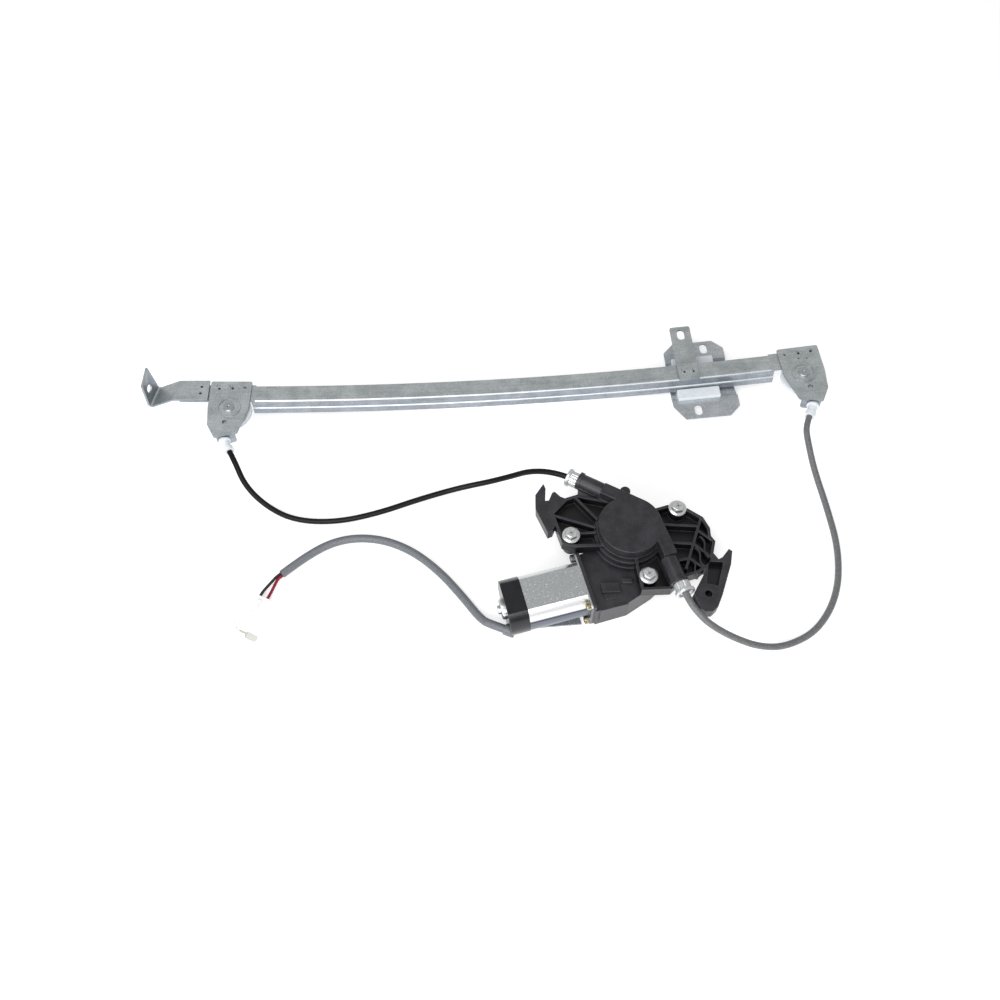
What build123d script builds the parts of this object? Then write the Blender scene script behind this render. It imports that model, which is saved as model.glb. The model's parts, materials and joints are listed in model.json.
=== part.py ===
from build123d import *
import os
from math import acos, asin, atan2, cos, degrees, hypot, pi, radians, sin, sqrt, tan

# A cable window regulator for a side door, lying flat: the guide rail runs along X, the motor lies in
# front of it (-Y), and the outside of the door panel faces up. All lengths are in millimetres.

# Sheet, gaps and cuts that several pieces share
sheet = 1.5
seat_gap = 0.02
run_gap = 0.05
slide_gap = 0.3
overrun = 1.0

# Guide rail: a bowed channel, its open side down, with stepped flanges and a flat tongue at each end
web_width = 20.0
rail_depth = 18.0
rail_sheet = 1.5
rail_bend = 2.0
lip_height = 8.0
lip_step = 1.2
rail_y = 105.0
bow_x = 32.0
bow_radius = 2800.0

# Pulleys and the two end brackets that carry them
left_pulley_x = -253.7
right_pulley_x = 313.0
pulley_groove_radius = 18.5
pulley_radius = 21.0
pulley_thickness = 5.0
pulley_drop = 7.5
pulley_hub_radius = 6.5
pulley_recess = 1.2
pulley_rim = 4.5
pulley_hole_radius = 2.6
pulley_hole_circle = 10.5
pulley_hole_count = 6
cable_radius = 0.9
cable_drop = 5.0
pin_radius = 3.0
pin_head_radius = 5.0
pin_head_height = 1.6
pin_flange_radius = 5.5
pin_flange_height = 1.4
bracket_half = 20.0
bracket_outline_shares = [
    (-1.0, 1.6), (1.0, 1.6), (1.015, 0.0), (0.925, -1.05),
    (0.525, -1.8), (-0.535, -1.525), (-0.95, -0.05),
]
bracket_corner = 2.0
bracket_flange_height = 14.0
bracket_ring_radius = 10.5
bracket_ring_width = 1.6
bracket_ring_height = 0.7
bracket_boss_drop = 2.3
pilot_hole_radius = 2.4
pilot_hole_shares = (0.12, -0.87)
clinch_radius = 1.5
clinch_depth = 0.8
clinch_shares = [(-0.68, 1.24), (0.0, 1.29), (0.65, 1.34)]
exit_angle = 28.0
exit_length = 44.0
notch_half_width = 4.7
bush_radius = 4.2
bush_collar_radius = 6.0
bush_collar_length = 1.6
bush_inner_collar_radius = 4.9
bush_inner_length = 5.0

# Foot at the left end of the rail: a cranked strip with an upright, drilled end
foot_sheet = 2.0
foot_width = 23.5
foot_offset = 2.0
foot_gap = 2.3
foot_flat = 15.0
foot_right_x = left_pulley_x - bracket_half - foot_gap
foot_station_x = foot_right_x - foot_flat
foot_slope_length = 27.0
foot_slope_angle = -27.0
foot_tab_height = 33.0
foot_bend = 3.0
foot_skew = 12.0
foot_hole_radius = 4.3
foot_hole_share = 0.47

# Where the rail's flanges and tongues end, by the bracket or foot that they meet
flange_gaps = (3.7, 8.5)
tongue_overlap = 11.0
flange_left_x = left_pulley_x + bracket_half + flange_gaps[0]
flange_right_x = right_pulley_x - bracket_half - flange_gaps[1]
tongue_left_x = foot_station_x - tongue_overlap
tongue_right_x = right_pulley_x + bracket_half - sheet

# Flat strip across the rail with a slot in its free end
strip_inset = 109.7
strip_x = right_pulley_x - strip_inset
strip_width = 20.5
strip_sheet = 2.0
strip_reach_share = 5.65
strip_slot_width = 7.5
strip_slot_length = 13.0
strip_slot_inset = 10.5
strip_corner = 2.0

# Carrier that holds the glass: a pressed plate with a sunk middle, and a plastic slider on it
carrier_inset = 94.5
carrier_x = right_pulley_x - carrier_inset
carrier_length = 65.0
carrier_width = 95.5
carrier_sheet = 1.5
carrier_chamfer = 10.5
ear_drop = 17.4
recess_depth = 3.0
recess_half = 22.0
carrier_slope = 2.5
ear_slot_width = 7.5
ear_slot_length = 12.5
ear_slot_y = 38.2
ear_slot_offset = 8.8
slider_x_offset = -4.0
slider_length = 44.0
slider_half = 20.5
slider_wall_drop = 12.0
slider_core_drop = 2.6
slider_base = 2.1
slider_corner = 2.0
cable_slot_half = 1.8
nipple_radius = 2.6
nipple_length = 6.0
travel_towards_right = 40.0
travel_towards_left = 400.0

# Drum, its housing and cover
drum_x = 118.0
drum_y = -82.0
cable_z = 48.0
drum_groove_radius = 22.0
drum_flange_radius = 24.4
drum_bottom_z = 42.0
drum_top_z = 53.8
winding_count = 4
winding_pitch = 2.2
chamber_radius = 25.2
cover_wall = 2.3
cover_top_z = 57.0
cover_bottom_z = 47.0
arm_angles = (147.8, -76.0)
arm_width = 11.5
arm_length = 37.0
tube_radius = 7.2
tube_shift = 1.2
tube_length = 21.0
tube_bore_radius = 2.4
tube_flange_radius = 8.2
tube_flange_length = 3.0
ferrule_radius = 5.2
ferrule_flare_radius = 7.6
ferrule_length = 14.0
ferrule_rim = 2.0
ferrule_throat = 2.5
ferrule_wall = 1.3
ferrule_groove = 0.5
ferrule_groove_count = 6
housing_reach = 80.0
housing_floor_z = 34.0
housing_floor = 2.5
housing_rib_top_z = 46.0
housing_wall = 2.4
housing_rib = 2.0
housing_ring_wall = 3.0
housing_corner = 2.0
pot_floor_z = 38.5
screw_boss_radius = 7.5
screw_place_shares = [(-0.638, -0.023), (0.56, 0.228), (0.133, -0.556)]
left_plate_shares = [
    (-0.10, 0.36), (-0.52, 0.485), (-0.652, 0.45), (-0.834, 0.27),
    (-0.744, -0.11), (-0.60, -0.165), (-0.33, -0.175), (0.0, -0.2),
]
left_hook_shares = [
    (-0.63, 0.43), (-0.71, 0.47), (-0.77, 0.54), (-0.80, 0.525), (-0.845, 0.43), (-0.885, 0.43),
    (-0.868, 0.59), (-0.889, 0.65), (-0.99, 0.51), (-1.0, 0.33), (-0.89, 0.03), (-0.835, 0.05),
    (-0.80, 0.12), (-0.80, 0.30),
]
right_plate_shares = [
    (0.05, 0.25), (0.33, 0.25), (0.46, 0.282), (0.666, 0.228), (0.82, 0.104), (0.874, -0.037),
    (0.868, -0.135), (0.904, -0.199), (0.858, -0.34), (0.84, -0.46), (0.66, -0.56), (0.50, -0.60),
    (0.35, -0.726), (0.04, -0.716), (0.014, -0.436),
]
right_hook_shares = [
    (0.858, -0.34), (0.9, -0.415), (0.945, -0.394), (1.03, -0.30), (1.061, -0.33),
    (1.02, -0.48), (0.869, -0.82), (0.80, -0.95), (0.74, -1.0), (0.66, -1.0), (0.575, -0.93),
    (0.54, -0.84), (0.70, -0.60),
]
left_rib_shares = [
    ((-0.55, 0.46), (-0.33, 0.16)),
    ((-0.80, 0.24), (-0.36, 0.06)),
    ((-0.62, 0.00), (-0.36, 0.00)),
]
right_rib_shares = [
    ((0.80, 0.10), (0.54, -0.50)),
    ((0.36, 0.05), (0.76, 0.00)),
    ((0.36, -0.17), (0.67, -0.21)),
    ((0.44, -0.40), (0.60, -0.38)),
    ((0.74, -0.05), (0.87, -0.18)),
    ((0.67, -0.21), (0.85, -0.40)),
    ((0.60, -0.38), (0.78, -0.55)),
]
hook_pocket_shares = [(0.79, -0.43), (0.945, -0.45), (0.84, -0.72), (0.725, -0.685)]
hook_hole_shares = (0.727, -0.80)
hook_hole_radius = 3.2

# Gearbox: single-start worm on the motor's shaft and a helical wheel under the drum
gear_module = 1.0
wheel_teeth = 50
worm_pitch_radius = 6.5
worm_length = 22.0
wheel_width = 8.0
wheel_hub_radius = 9.0
addendum_share = 0.9
dedendum_share = 1.2
pressure_angle = 20.0
backlash = 0.35
shaft_radius = 4.0
motor_angle = 11.5
motor_z = 19.5
gearbox_bottom_z = 2.5
gearbox_top_z = 30.0
gearbox_roof = 3.0
gearbox_wall = 2.2
gearbox_body_radius = gear_module * (wheel_teeth / 2 + 2 * addendum_share) + gearbox_wall
neck_reach_share = 1.66
gearbox_outline_shares = [
    (-neck_reach_share, 0.93), (-neck_reach_share, -0.96), (-0.62, -0.93), (0.28, -0.62), (0.78, -0.33), (0.83, 0.41), (0.2, 1.07),
    (-0.8, 1.07),
]
gearbox_lug_width = 13.0
gearbox_lug_height = 8.0
worm_tunnel_radius = 8.0
worm_tunnel_end = 17.0
bush_wall = 2.0
bush_length = 5.0
boss_wall = 3.0
pad_height = 1.5
flange_sheet = 3.0
motor_flange_half = 27.2
motor_flange_corner = 3.0

# Motor
can_radius = 23.7
can_flat = 19.0
can_wall = 1.5
can_length = 54.0
can_gap = 2.36
can_start = neck_reach_share * gearbox_body_radius + can_gap
can_flange = 1.5
band_length = 17.3
band_radius = 24.2
band_flat = 19.5
band_wall = 2.0
end_cap_radius = 9.5
end_cap_length = 3.5
end_nub_radius = 4.0
end_nub_length = 2.5
armature_shaft_radius = 3.0
core_radius = 15.0
core_length = 30.0
core_slots = 8
core_slot_width = 4.0
core_slot_depth = 5.0
coil_radius = 12.5
coil_length = 5.0
commutator_radius = 7.0
commutator_length = 11.0
magnet_inner_radius = 15.8
magnet_span = 88.0
magnet_length = 36.0
brush_width = 4.5
brush_length = 8.0
brush_plate = 3.0
can_screw_radius = 2.0
can_screw_across = 23.1
can_screw_up = 15.2
can_screw_head_radius = 3.6
can_screw_head = 4.0
can_foot_inner = 12.0
can_foot_start = 16.5
can_foot_end = 25.0

# Hexagon flange screws
screw_radius = 2.5
screw_length = 20.0
screw_flange_radius = 8.0
screw_flange = 1.4
screw_hex = 5.6
screw_hex_height = 4.2
cross_width = 1.4
cross_length = 6.0
cross_depth = 1.6

# Cords: two cable conduits and the motor's lead with its wires
conduit_diameters = (5.4, 5.8)
sleeve_diameter = 7.6
wire_diameter = 2.7
cord_bend_share = 0.45
bush_lead = 12.5
ferrule_leads = (31.0, 13.0)
lead_lead = 12.0
lead_exit_across = -17.0
lead_exit_z = 8.5
lead_exit_turn = 36.0
grommet_radius = 5.0
grommet_length = 4.5
black_route = [
    (-235.5, 7.0, 15.0), (-216.0, -12.0, 6.0), (-189.0, -27.5, 3.0), (-151.0, -32.5, 3.0),
    (-111.0, -26.0, 3.0), (-69.0, -12.5, 3.0), (-30.0, -3.5, 4.5), (4.0, -4.0, 14.0),
]
grey_route = [
    (303.0, 15.0, 22.5), (305.5, -13.0, 12.5), (311.0, -49.0, 4.5), (311.5, -93.0, 3.2),
    (300.0, -136.0, 3.2), (275.0, -168.5, 3.2), (244.0, -182.0, 4.5), (218.0, -183.5, 13.0),
    (193.0, -178.5, 27.5), (173.8, -170.8, 39.5), (163.8, -161.5, 45.5),
]
lead_route = [
    (-16.0, -140.5, 5.0), (-32.0, -116.5, 4.0), (-52.5, -90.0, 4.0), (-78.0, -67.0, 4.0),
    (-108.0, -53.0, 4.0), (-141.0, -51.0, 4.0), (-171.0, -63.5, 4.0),
]
sleeve_end = (-196.0, -84.0, 4.0)
wire_lead = 5.5
connector_place = (-214.5, -113.0, 0.0)
connector_angle = -117.0
connector_length = 15.0
connector_width = 15.0
connector_height = 7.4
connector_pitch = 7.4
cavity_width = 5.0
cavity_height = 4.6
terminal_length = 12.0
terminal_width = 4.6
terminal_height = 3.4
terminal_sheet = 0.6
jumper_route = [
    (-224.0, -112.6, 3.4), (-229.5, -114.6, 3.0), (-234.5, -120.0, 2.6),
    (-236.5, -127.5, 2.4), (-233.5, -134.5, 2.4), (-226.5, -138.5, 2.4),
]
blade_length = 19.0
blade_width = 6.3
blade_sheet = 0.8
blade_barrel_radius = 2.2
blade_barrel_length = 7.0


# Placing and shaping helpers

def scaled(shares, size):
    """The points of a table of shares, at their real size."""
    return [(x * size, y * size) for x, y in shares]


def station(x, y=rail_y):
    """The plane that touches the top of the bowed web at x, its own X along the rail."""
    lean = asin((x - bow_x) / bow_radius)
    height = rail_depth + bow_radius - bow_radius * cos(lean)
    return Plane(origin=(x, y, height), x_dir=(cos(lean), 0, sin(lean)), z_dir=(-sin(lean), 0, cos(lean)))


def lift(half_length):
    """How far a flat piece stands off the bowed web to rest on it at its two ends."""
    return half_length * half_length / (2 * bow_radius) + seat_gap


def bowed(face, x_from, x_to):
    """A face at the bow's lowest point, swept along the bow from x_from to x_to."""
    first = asin((x_from - bow_x) / bow_radius)
    last = asin((x_to - bow_x) / bow_radius)
    axis = Axis((bow_x, rail_y, rail_depth + bow_radius), (0, 1, 0))
    return revolve(face.rotate(axis, -degrees(last)), axis=axis, revolution_arc=degrees(last - first))


def prism(shape, bottom, top):
    """A flat outline made into a body between two heights."""
    return Pos(0, 0, bottom) * extrude(shape, amount=top - bottom)


def post(radius, bottom, top):
    """A round body between two heights."""
    return prism(Circle(radius), bottom, top)


def bar(start, end, width):
    """A flat bar between two points of a sketch."""
    run = hypot(end[0] - start[0], end[1] - start[1])
    turn = degrees(atan2(end[1] - start[1], end[0] - start[0]))
    middle = ((start[0] + end[0]) / 2, (start[1] + end[1]) / 2)
    return Pos(*middle) * Rot(0, 0, turn) * Rectangle(run, width)


def outline(points):
    return make_face(Polyline(*points, close=True))


def turned(profile):
    """A profile in X (radius) and Y (height), turned about Z."""
    return revolve(Plane.XZ * outline(profile), axis=Axis.Z)


# Guide rail

def rail_half(sign):
    """The middle line of half the channel, from the web's middle to the lip's edge."""
    half = web_width / 2 - rail_sheet / 2
    top = -rail_sheet / 2
    step = -(rail_depth - lip_height)
    return [
        (0, top), (sign * half, top), (sign * half, step),
        (sign * (half + lip_step), step - lip_step), (sign * (half + lip_step), -rail_depth),
    ]


def guide_rail():
    place = Plane(origin=(bow_x, rail_y, rail_depth), x_dir=(0, 1, 0), z_dir=(1, 0, 0))
    line = list(reversed(rail_half(-1))) + rail_half(1)[1:]
    corners = [lip_step, lip_step, rail_bend, rail_bend, lip_step, lip_step]
    line = [p for p in line if p != (0, -rail_sheet / 2)]
    channel = trace(FilletPolyline(*line, radius=corners), line_width=rail_sheet)
    web = Pos(0, -rail_sheet / 2) * Rectangle(web_width - 2 * rail_sheet, rail_sheet)
    body = bowed(place * channel, flange_left_x, flange_right_x)
    tongue = bowed(place * web, tongue_left_x, tongue_right_x)
    wide = Pos(0, -rail_sheet / 2) * Rectangle(web_width, rail_sheet)
    ends = bowed(place * wide, tongue_left_x, flange_left_x) + bowed(place * wide, flange_right_x, tongue_right_x)
    return body + tongue + ends


# End brackets, pulleys, pins and bushes, drawn about the pulley's centre with +X away from the rail

def at_end(shape, side):
    """A piece drawn at the right end, placed at either end of the rail."""
    if side == "left":
        return station(left_pulley_x, pulley_y()) * mirror(shape, about=Plane.YZ)
    return station(right_pulley_x, pulley_y()) * shape


def pulley_y():
    return rail_y - pulley_groove_radius


def exit_point(run):
    """The place on the cable's straight run out of the pulley, drawn about the pulley's centre."""
    turn = radians(exit_angle)
    x = pulley_groove_radius * cos(turn) - run * sin(turn)
    y = -pulley_groove_radius * sin(turn) - run * cos(turn)
    return Vector(x, y, -cable_drop)


def exit_direction():
    turn = radians(exit_angle)
    return Vector(-sin(turn), -cos(turn), 0)


def fold():
    """The two ends of the bracket's fold line, and its angle."""
    points = scaled(bracket_outline_shares, bracket_half)
    outer, inner = points[4], points[5]
    return inner, outer, degrees(atan2(outer[1] - inner[1], outer[0] - inner[0]))


def fold_crossing():
    """How far along the exit run the cable crosses the folded flange, and that place along the fold."""
    inner, outer, turn = fold()
    along = Vector(cos(radians(turn)), sin(radians(turn)))
    across = Vector(-along.Y, along.X)
    start, heading = exit_point(0), exit_direction()
    gap = Vector(inner[0] - start.X, inner[1] - start.Y)
    run = gap.dot(across) / Vector(heading.X, heading.Y).dot(across)
    place = exit_point(run)
    return run, Vector(place.X - inner[0], place.Y - inner[1]).dot(along)


def pulley_bracket():
    rise = lift(bracket_half)
    plate = prism(outline(scaled(bracket_outline_shares, bracket_half)), rise, rise + sheet)
    plate = fillet(plate.edges().filter_by(Axis.Z), bracket_corner)
    ring = Circle(bracket_ring_radius + bracket_ring_width / 2) - Circle(bracket_ring_radius - bracket_ring_width / 2)
    plate += prism(ring, rise + sheet / 2, rise + sheet + bracket_ring_height)
    plate += post(pulley_hub_radius, -bracket_boss_drop, rise + sheet / 2)
    inner, outer, turn = fold()
    length = hypot(outer[0] - inner[0], outer[1] - inner[1]) - 2 * bracket_corner
    run, place = fold_crossing()
    middle = ((inner[0] + outer[0]) / 2, (inner[1] + outer[1]) / 2)
    flange = Box(length, sheet, bracket_flange_height, align=(Align.CENTER, Align.MIN, Align.MAX))
    flange = chamfer(flange.edges().filter_by(Axis.Y).group_by(Axis.Z)[0], bracket_corner)
    notch_top = -cable_drop + notch_half_width
    notch = Pos(place - hypot(outer[0] - inner[0], outer[1] - inner[1]) / 2, 0, 0) * (
        Box(2 * notch_half_width, 6 * sheet, bracket_flange_height + overrun, align=(Align.CENTER, Align.CENTER, Align.MAX))
    )
    flange = Pos(0, 0, rise + sheet) * flange
    flange -= Pos(0, 0, notch_top - notch_half_width) * notch
    round_end = Pos(place - hypot(outer[0] - inner[0], outer[1] - inner[1]) / 2, 0, -cable_drop) * Rot(90, 0, 0)
    flange -= round_end * Cylinder(notch_half_width, 6 * sheet)
    plate += Pos(*middle) * Rot(0, 0, turn) * flange
    plate -= post(pin_radius, -pulley_drop, rise + sheet + overrun)
    pilot = scaled([pilot_hole_shares], bracket_half)[0]
    plate -= Pos(*pilot) * post(pilot_hole_radius, -overrun, rise + sheet + overrun)
    for x, y in scaled(clinch_shares, bracket_half):
        plate -= Pos(x, y) * post(clinch_radius, rise + sheet - clinch_depth, rise + sheet + overrun)
    return plate


def pulley():
    top = -(pulley_drop - pulley_thickness)
    bottom = -pulley_drop
    middle = -cable_drop
    groove = pulley_groove_radius - cable_radius - run_gap
    half = cable_radius + run_gap
    bore = pin_radius + run_gap
    profile = [
        (bore, bottom), (pulley_hub_radius, bottom), (pulley_hub_radius, bottom + pulley_recess),
        (groove - pulley_rim, bottom + pulley_recess), (groove - pulley_rim, bottom),
        (pulley_radius, bottom), (pulley_radius, middle - 2 * half), (groove, middle - half),
        (groove, middle + half), (pulley_radius, middle + 2 * half), (pulley_radius, top),
        (groove - pulley_rim, top), (groove - pulley_rim, top - pulley_recess),
        (pulley_hub_radius, top - pulley_recess), (pulley_hub_radius, top), (bore, top),
    ]
    wheel = turned(profile)
    hole = post(pulley_hole_radius, bottom - overrun, top + overrun)
    return wheel - PolarLocations(pulley_hole_circle, pulley_hole_count) * hole


def pulley_pin():
    top = lift(bracket_half) + sheet
    bottom = -pulley_drop - run_gap
    pin = post(pin_radius, bottom, top)
    head = post(pin_head_radius, top, top + pin_head_height)
    head = fillet(head.edges().group_by(Axis.Z)[-1], pin_head_height / 2)
    head -= post(pin_radius / 2, top + pin_head_height / 2, top + pin_head_height + overrun)
    return pin + head + post(pin_flange_radius, bottom - pin_flange_height, bottom)


def cable_bush():
    """The plastic bush that guides the cable through the bracket's notch and takes the conduit's end."""
    run, place = fold_crossing()
    turn = exit_angle + fold()[2]
    reach = sheet / cos(radians(turn)) + bush_collar_radius * abs(tan(radians(turn))) + slide_gap
    start = run - reach - bush_inner_length
    tube = Cylinder(bush_radius, exit_length - start, align=(Align.CENTER, Align.CENTER, Align.MIN))
    collar = Cylinder(bush_collar_radius, bush_collar_length, align=(Align.CENTER, Align.CENTER, Align.MIN))
    bush = tube + Pos(0, 0, reach + bush_inner_length + reach - sheet) * collar
    inner_collar = Cylinder(bush_inner_collar_radius, bush_collar_length, align=(Align.CENTER, Align.CENTER, Align.MIN))
    bush += Pos(0, 0, bush_inner_length - bush_collar_length - sheet) * inner_collar
    bush += Pos(0, 0, exit_length - start - 3 * bush_collar_length) * Cylinder(
        bush_radius + sheet / 2, 3 * bush_collar_length, align=(Align.CENTER, Align.CENTER, Align.MIN)
    )
    bush -= Cylinder(cable_radius + slide_gap, 2 * exit_length)
    return Plane(origin=exit_point(start), x_dir=(0, 0, 1), z_dir=exit_direction()) * bush


def rail_cable():
    """The inner cable: out of each bush, round each pulley and along inside the rail."""
    inner_end = fold_crossing()[0]
    start_run = inner_end - bush_inner_length
    section = Circle(cable_radius)
    straight = Plane(origin=exit_point(0), x_dir=(0, 0, 1), z_dir=exit_direction()) * extrude(section, amount=start_run)
    ring = Plane.XZ * Pos(pulley_groove_radius, -cable_drop) * section
    wrap = revolve(ring.rotate(Axis.Z, -exit_angle), axis=Axis.Z, revolution_arc=90 + exit_angle)
    place = Plane(origin=(bow_x, rail_y, rail_depth), x_dir=(0, 1, 0), z_dir=(1, 0, 0))
    run = bowed(place * Pos(0, -cable_drop) * section, left_pulley_x, right_pulley_x)
    return run + at_end(wrap, "left") + at_end(wrap, "right") + at_end(straight, "left") + at_end(straight, "right")


# Foot and strip

def foot_bracket():
    rise = lift(foot_flat)
    slope = radians(foot_slope_angle)
    right = foot_right_x - foot_station_x
    middle = foot_sheet / 2
    knee = (-foot_flat, middle)
    ankle = (knee[0] - foot_slope_length * cos(slope), knee[1] + foot_slope_length * sin(slope))
    lean = asin((foot_station_x - bow_x) / bow_radius)
    toe = (ankle[0] + foot_tab_height * sin(lean), ankle[1] + foot_tab_height * cos(lean))
    line = FilletPolyline((right, middle), knee, ankle, toe, radius=[foot_bend, foot_bend])
    profile = trace(line, line_width=foot_sheet)
    skew = radians(foot_skew)
    slant = Vector(sin(skew), cos(skew), 0)
    side = Plane.XZ * profile
    body = extrude(side, amount=foot_width / cos(skew), dir=slant)
    body = Pos(-foot_width / 2 * tan(skew), -foot_width / 2, 0) * body
    trim = Box(foot_flat, 2 * foot_width, foot_flat, align=(Align.MIN, Align.CENTER, Align.CENTER))
    body -= Pos(right - foot_width / 2 * tan(skew), 0, 0) * trim
    hole_place = (
        ankle[0] + foot_hole_share * (toe[0] - ankle[0]), 0, ankle[1] + foot_hole_share * (toe[1] - ankle[1])
    )
    upright = Vector(sin(lean), 0, cos(lean))
    across = Plane(origin=hole_place, x_dir=slant, z_dir=slant.cross(upright))
    body -= across * Cylinder(foot_hole_radius, 6 * foot_sheet)
    place = station(foot_station_x, rail_y + foot_offset)
    return place * Pos(0, 0, rise) * body


def rail_mount_strip():
    rise = lift(strip_width / 2)
    reach = strip_reach_share * web_width / 2
    low = -web_width / 2
    plate = Pos(0, (low + reach) / 2) * RectangleRounded(strip_width, reach - low, strip_corner)
    slot = Pos(0, reach - strip_slot_inset) * SlotOverall(strip_slot_length, strip_slot_width, rotation=90)
    body = prism(plate - slot, rise, rise + strip_sheet)
    for side in (-1, 1):
        dot = Pos(side * strip_width / 4, low + web_width / 2) * post(
            clinch_radius, rise + strip_sheet - clinch_depth, rise + strip_sheet + overrun
        )
        body -= dot
    return station(strip_x) * body


# Carrier

def at_carrier(shape):
    return station(carrier_x) * shape


def carrier_plate():
    ear = -ear_drop - carrier_sheet / 2
    floor = ear - recess_depth
    edge = carrier_width / 2
    line = [
        (-edge, ear), (-recess_half - carrier_slope, ear), (-recess_half, floor), (recess_half, floor),
        (recess_half + carrier_slope, ear), (edge, ear),
    ]
    profile = trace(Polyline(*line), line_width=carrier_sheet)
    body = extrude(Plane.YZ * profile, amount=carrier_length / 2, both=True)
    half = carrier_length / 2
    cut = carrier_chamfer
    shape = outline([
        (-half, -edge + cut), (-half + cut, -edge), (half - cut, -edge), (half, -edge + cut),
        (half, edge - cut), (half - cut, edge), (-half + cut, edge), (-half, edge - cut),
    ])
    for side in (-1, 1):
        shape -= Pos(side * ear_slot_offset, side * ear_slot_y) * SlotOverall(
            ear_slot_length, ear_slot_width, rotation=90
        )
    return at_carrier(body & prism(shape, floor - carrier_sheet, ear + carrier_sheet))


def carrier_slider():
    """The plastic shoe: two slots take the rail's lips and a channel in its core clears the cable."""
    floor = -ear_drop - recess_depth
    lip_in = web_width / 2 + lip_step - rail_sheet - slide_gap
    lip_out = web_width / 2 + lip_step + slide_gap
    core_half = web_width / 2 - rail_sheet - slide_gap
    lip_floor = -rail_depth - slide_gap
    half = slider_half
    profile = [
        (-half, floor), (half, floor), (half, -slider_wall_drop), (lip_out, -slider_wall_drop),
        (lip_out, lip_floor), (lip_in, lip_floor), (lip_in, -slider_wall_drop),
        (core_half, -slider_wall_drop + lip_step), (core_half, -slider_core_drop),
        (cable_slot_half, -slider_core_drop), (cable_slot_half, -cable_drop - cable_slot_half),
        (-cable_slot_half, -cable_drop - cable_slot_half), (-cable_slot_half, -slider_core_drop),
        (-core_half, -slider_core_drop), (-core_half, -slider_wall_drop + lip_step),
        (-lip_in, -slider_wall_drop), (-lip_in, lip_floor), (-lip_out, lip_floor),
        (-lip_out, -slider_wall_drop), (-half, -slider_wall_drop),
    ]
    body = extrude(Plane.YZ * outline(profile), amount=slider_length / 2, both=True)
    body = fillet(body.edges().filter_by(Axis.Z).sort_by(lambda e: -abs(e.center().Y))[:4], slider_corner)
    pocket = Rot(0, 90, 0) * Cylinder(nipple_radius, nipple_length)
    for side in (-1, 1):
        body -= Pos(side * slider_length / 4, 0, -cable_drop) * pocket
        body -= Pos(side * slider_length / 4, 0, -cable_drop) * Box(
            nipple_length, 2 * nipple_radius, 2 * nipple_radius, align=(Align.CENTER, Align.CENTER, Align.MIN)
        )
    return at_carrier(Pos(slider_x_offset, 0, 0) * body)


def cable_nipples():
    """The two die-cast ends of the cable, each in its pocket of the slider."""
    ring = Rot(0, 90, 0) * (Cylinder(nipple_radius, nipple_length) - Cylinder(cable_radius + slide_gap, nipple_length))
    both = [Pos(slider_x_offset + side * slider_length / 4, 0, -cable_drop) * ring for side in (-1, 1)]
    return at_carrier(both[0] + both[1])


# Drum housing, cover, drum and winding, drawn about the drum's centre at their real heights

def at_drum(shape):
    return Pos(drum_x, drum_y, 0) * shape


def arm_shape(index, width, length):
    """The flat outline of one arm, its outer edge level with the cover's rim."""
    turn = radians(arm_angles[index])
    side = 1 if index else -1
    rim = chamber_radius + cover_wall
    middle = rim - arm_width / 2
    along = Vector(cos(turn), sin(turn))
    across = Vector(-side * sin(turn), side * cos(turn))
    start = across * middle
    end = start + along * length
    return bar((start.X, start.Y), (end.X, end.Y), width)


def arm_point(index, run):
    """A place on the cable's straight run along an arm, about the drum's centre."""
    turn = radians(arm_angles[index])
    side = 1 if index else -1
    along = Vector(cos(turn), sin(turn), 0)
    across = Vector(-side * sin(turn), side * cos(turn), 0)
    return across * drum_groove_radius + along * run + Vector(0, 0, cable_z), along


def along_arm(index, run, shape):
    """A piece drawn up Z from its start, laid along an arm."""
    place, along = arm_point(index, run)
    return Plane(origin=place, x_dir=(0, 0, 1), z_dir=along) * shape


def drum_cover():
    rim = chamber_radius + cover_wall
    shape = Circle(rim) + arm_shape(0, arm_width, arm_length) + arm_shape(1, arm_width, arm_length)
    body = prism(shape, cover_bottom_z, cover_top_z)
    body = fillet(body.faces().sort_by(Axis.Z)[-1].edges(), cover_wall / 3)
    inner_width = arm_width - 2 * cover_wall
    hollow = Circle(chamber_radius)
    for index in (0, 1):
        hollow += arm_shape(index, inner_width, arm_length - cover_wall)
    body -= prism(hollow, cover_bottom_z - overrun, cover_top_z - cover_wall)
    for index in (0, 1):
        body -= along_arm(index, 0, post(tube_bore_radius, 0, arm_length + overrun))
    body += post(shaft_radius + cover_wall, drum_top_z + run_gap, cover_top_z - cover_wall)
    body -= post(shaft_radius + run_gap, drum_top_z - overrun, cover_top_z - cover_wall)
    return at_drum(body)


def rib(shares, width):
    start, end = scaled(shares, housing_reach)
    return bar(start, end, width)


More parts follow.
